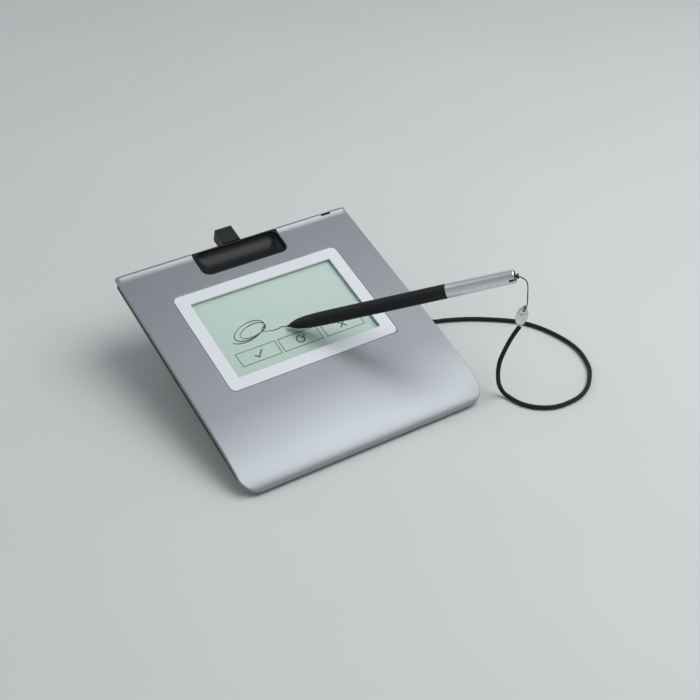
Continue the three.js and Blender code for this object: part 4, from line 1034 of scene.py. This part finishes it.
# Nib: a plain rod of slippery grey plastic with a ground, rounded tip. It slides into the front
# barrel against a spring when the pen is pressed down.
tip = np.linspace(0, np.pi / 2, 9)
nib_radius, nib_end = 0.8, 31.0
nib_tip = np.stack([nib_radius * np.sin(tip), 1.1 * (1 - np.cos(tip))], axis=1)
nib_profile = [*nib_tip, (nib_radius, nib_end), (0.0, nib_end)]
nib_grey = moulded("nib_grey", shade(58, 59, 60), 0.5, 0.05, 6000.0, 0.000005)
pen_nib = mesh_piece("pen_nib_rod", [on_pen(turned(nib_profile, around=40))], nib_grey, crease=50)
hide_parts("pen_nib")
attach(pen_nib, "nib")

# Pen, rear barrel: a thin silver tube pushed over the front barrel's spigot. It narrows slightly,
# and a slot is milled through its wall at the end for the string.
outside = np.array([
    (4.15, 100.3), (barrel_radius, 100.45), (barrel_radius, 108.3),
    (4.02, 139.7), (3.87, 140.2), (3.6, 140.6),
])
inside = np.array([(3.5, 100.3), (3.5, 116.3), (3.25, 128.3), (3.25, 140.6)])
slot_wide, slot_low, slot_turn = 1.5, 137.2, -128.0
slot_half = math.degrees(math.asin(slot_wide / 2 / 4.1))


def cut_at(profile, height):
    """The profile up to a height, with a point added there, and the rest from it on."""
    r = np.interp(height, profile[:, 1], profile[:, 0])
    below, above = profile[profile[:, 1] < height], profile[profile[:, 1] > height]
    return np.concatenate([below, [(r, height)]]), np.concatenate([[(r, height)], above])


out_low, out_high = cut_at(outside, slot_low)
in_low, in_high = cut_at(inside, slot_low)
in_high = np.stack([np.interp(out_high[:, 1], in_high[:, 1], in_high[:, 0]), out_high[:, 1]], axis=1)
a0, a1 = slot_turn + slot_half, slot_turn + 360 - slot_half
whole, beside = (a0, a1, 90), (a1 - 360, a0, 6)
wall_turns = [turned(p, *part) for p in (out_low, in_low) for part in (whole, beside)]
wall_turns += [turned(p, *whole) for p in (out_high, in_high)]
wall_turns += [turned([outside[0], inside[0]], *part) for part in (whole, beside)]
wall_turns.append(turned([outside[-1], inside[-1]], *whole))
wall_turns.append(turned([out_low[-1], in_low[-1]], *beside))
wall_turns += [np.stack([turned(p, a, a, 1)[:, 0] for p in (out_high, in_high)]) for a in (a0, a1)]
pen_silver = moulded("pen_silver", shade(222, 224, 225), 0.29, 0.04, 5200.0, 0.000004, metallic=0.85)
pen_rear = mesh_piece("pen_rear_barrel_tube", [on_pen(s) for s in wall_turns], pen_silver, crease=35)
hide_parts("pen_rear_barrel")
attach(pen_rear, "pen")

# End plug: a black moulded disc pressed into the tube's end. It has the hole that the string's
# knot is pulled into.
plug_profile = [
    (0.0, 128.6), (2.95, 128.6), (2.95, 139.5), (2.7, 139.8),
    (1.0, 139.8), (0.8, 139.55), (0.8, 135.8), (0.0, 135.8),
]
plug = on_pen(turned(plug_profile, around=64))
pen_plug = mesh_piece("pen_end_plug_disc", [plug], pen_black, crease=40)
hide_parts("pen_end_plug")
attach(pen_plug, "pen")


# Inner parts: boards, chips, ribbons, wiring and the pen's works. They are closed in, and keep
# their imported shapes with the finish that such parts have.
board_green, tree, surface = finish("circuit_board", shade(34, 96, 62), 0.45, Coat_Weight=0.3)
tracks = add_node(tree, "TexBrick", [
    ("Vector", add_node(tree, "TexCoord").outputs["Object"]),
    ("Color1", shade(30, 88, 56)), ("Color2", shade(38, 104, 68)), ("Mortar", shade(58, 128, 84)),
    ("Scale", 1.0), ("Mortar Size", 0.00012), ("Brick Width", 0.0062), ("Row Height", 0.0009),
])
tree.links.new(tracks.outputs["Color"], surface.inputs["Base Color"])
dress(board_green, "main_board", "port_board", "sensor_board", "pen_board")
# For each finish its roughness, drift, grains per metre and their depth, and the parts that have it
for name, colour, numbers, dressed in (
    ("chip_black", (44, 44, 46), (0.5, 0.06, 5000.0, 0.00001), ("controller_chip", "memory_chip")),
    ("connector_cream", (222, 214, 194), (0.5, 0.05, 3000.0, 0.00001),
     ("display_connector", "sensor_connector", "harness_header")),
    ("ribbon_amber", (176, 112, 48), (0.3, 0.08, 1200.0, 0.00001), ("display_ribbon", "sensor_ribbon")),
    ("wire_jacket", (40, 41, 43), (0.55, 0.08, 2500.0, 0.00002), ("port_harness",)),
    ("inner_frame", (60, 62, 65), (0.5, 0.06, 2500.0, 0.00001), ("display_frame", "pen_carrier")),
    ("ferrite_grey", (70, 68, 66), (0.6, 0.12, 3500.0, 0.00003), ("pen_ferrite",)),
):
    dress(moulded(name, shade(*colour), *numbers), *dressed)
winding, tree, surface = finish("copper_winding", shade(190, 108, 66), 0.3, 0.9)
place = add_node(tree, "TexCoord").outputs["Object"]
turns = add_node(tree, "TexWave", [("Vector", place), ("Scale", 900.0), ("Distortion", 0.4)])
tone = two_tones(tree, turns.outputs["Fac"], shade(150, 78, 44), shade(214, 130, 84))
tree.links.new(tone, surface.inputs["Base Color"])
dress(winding, "pen_coil")
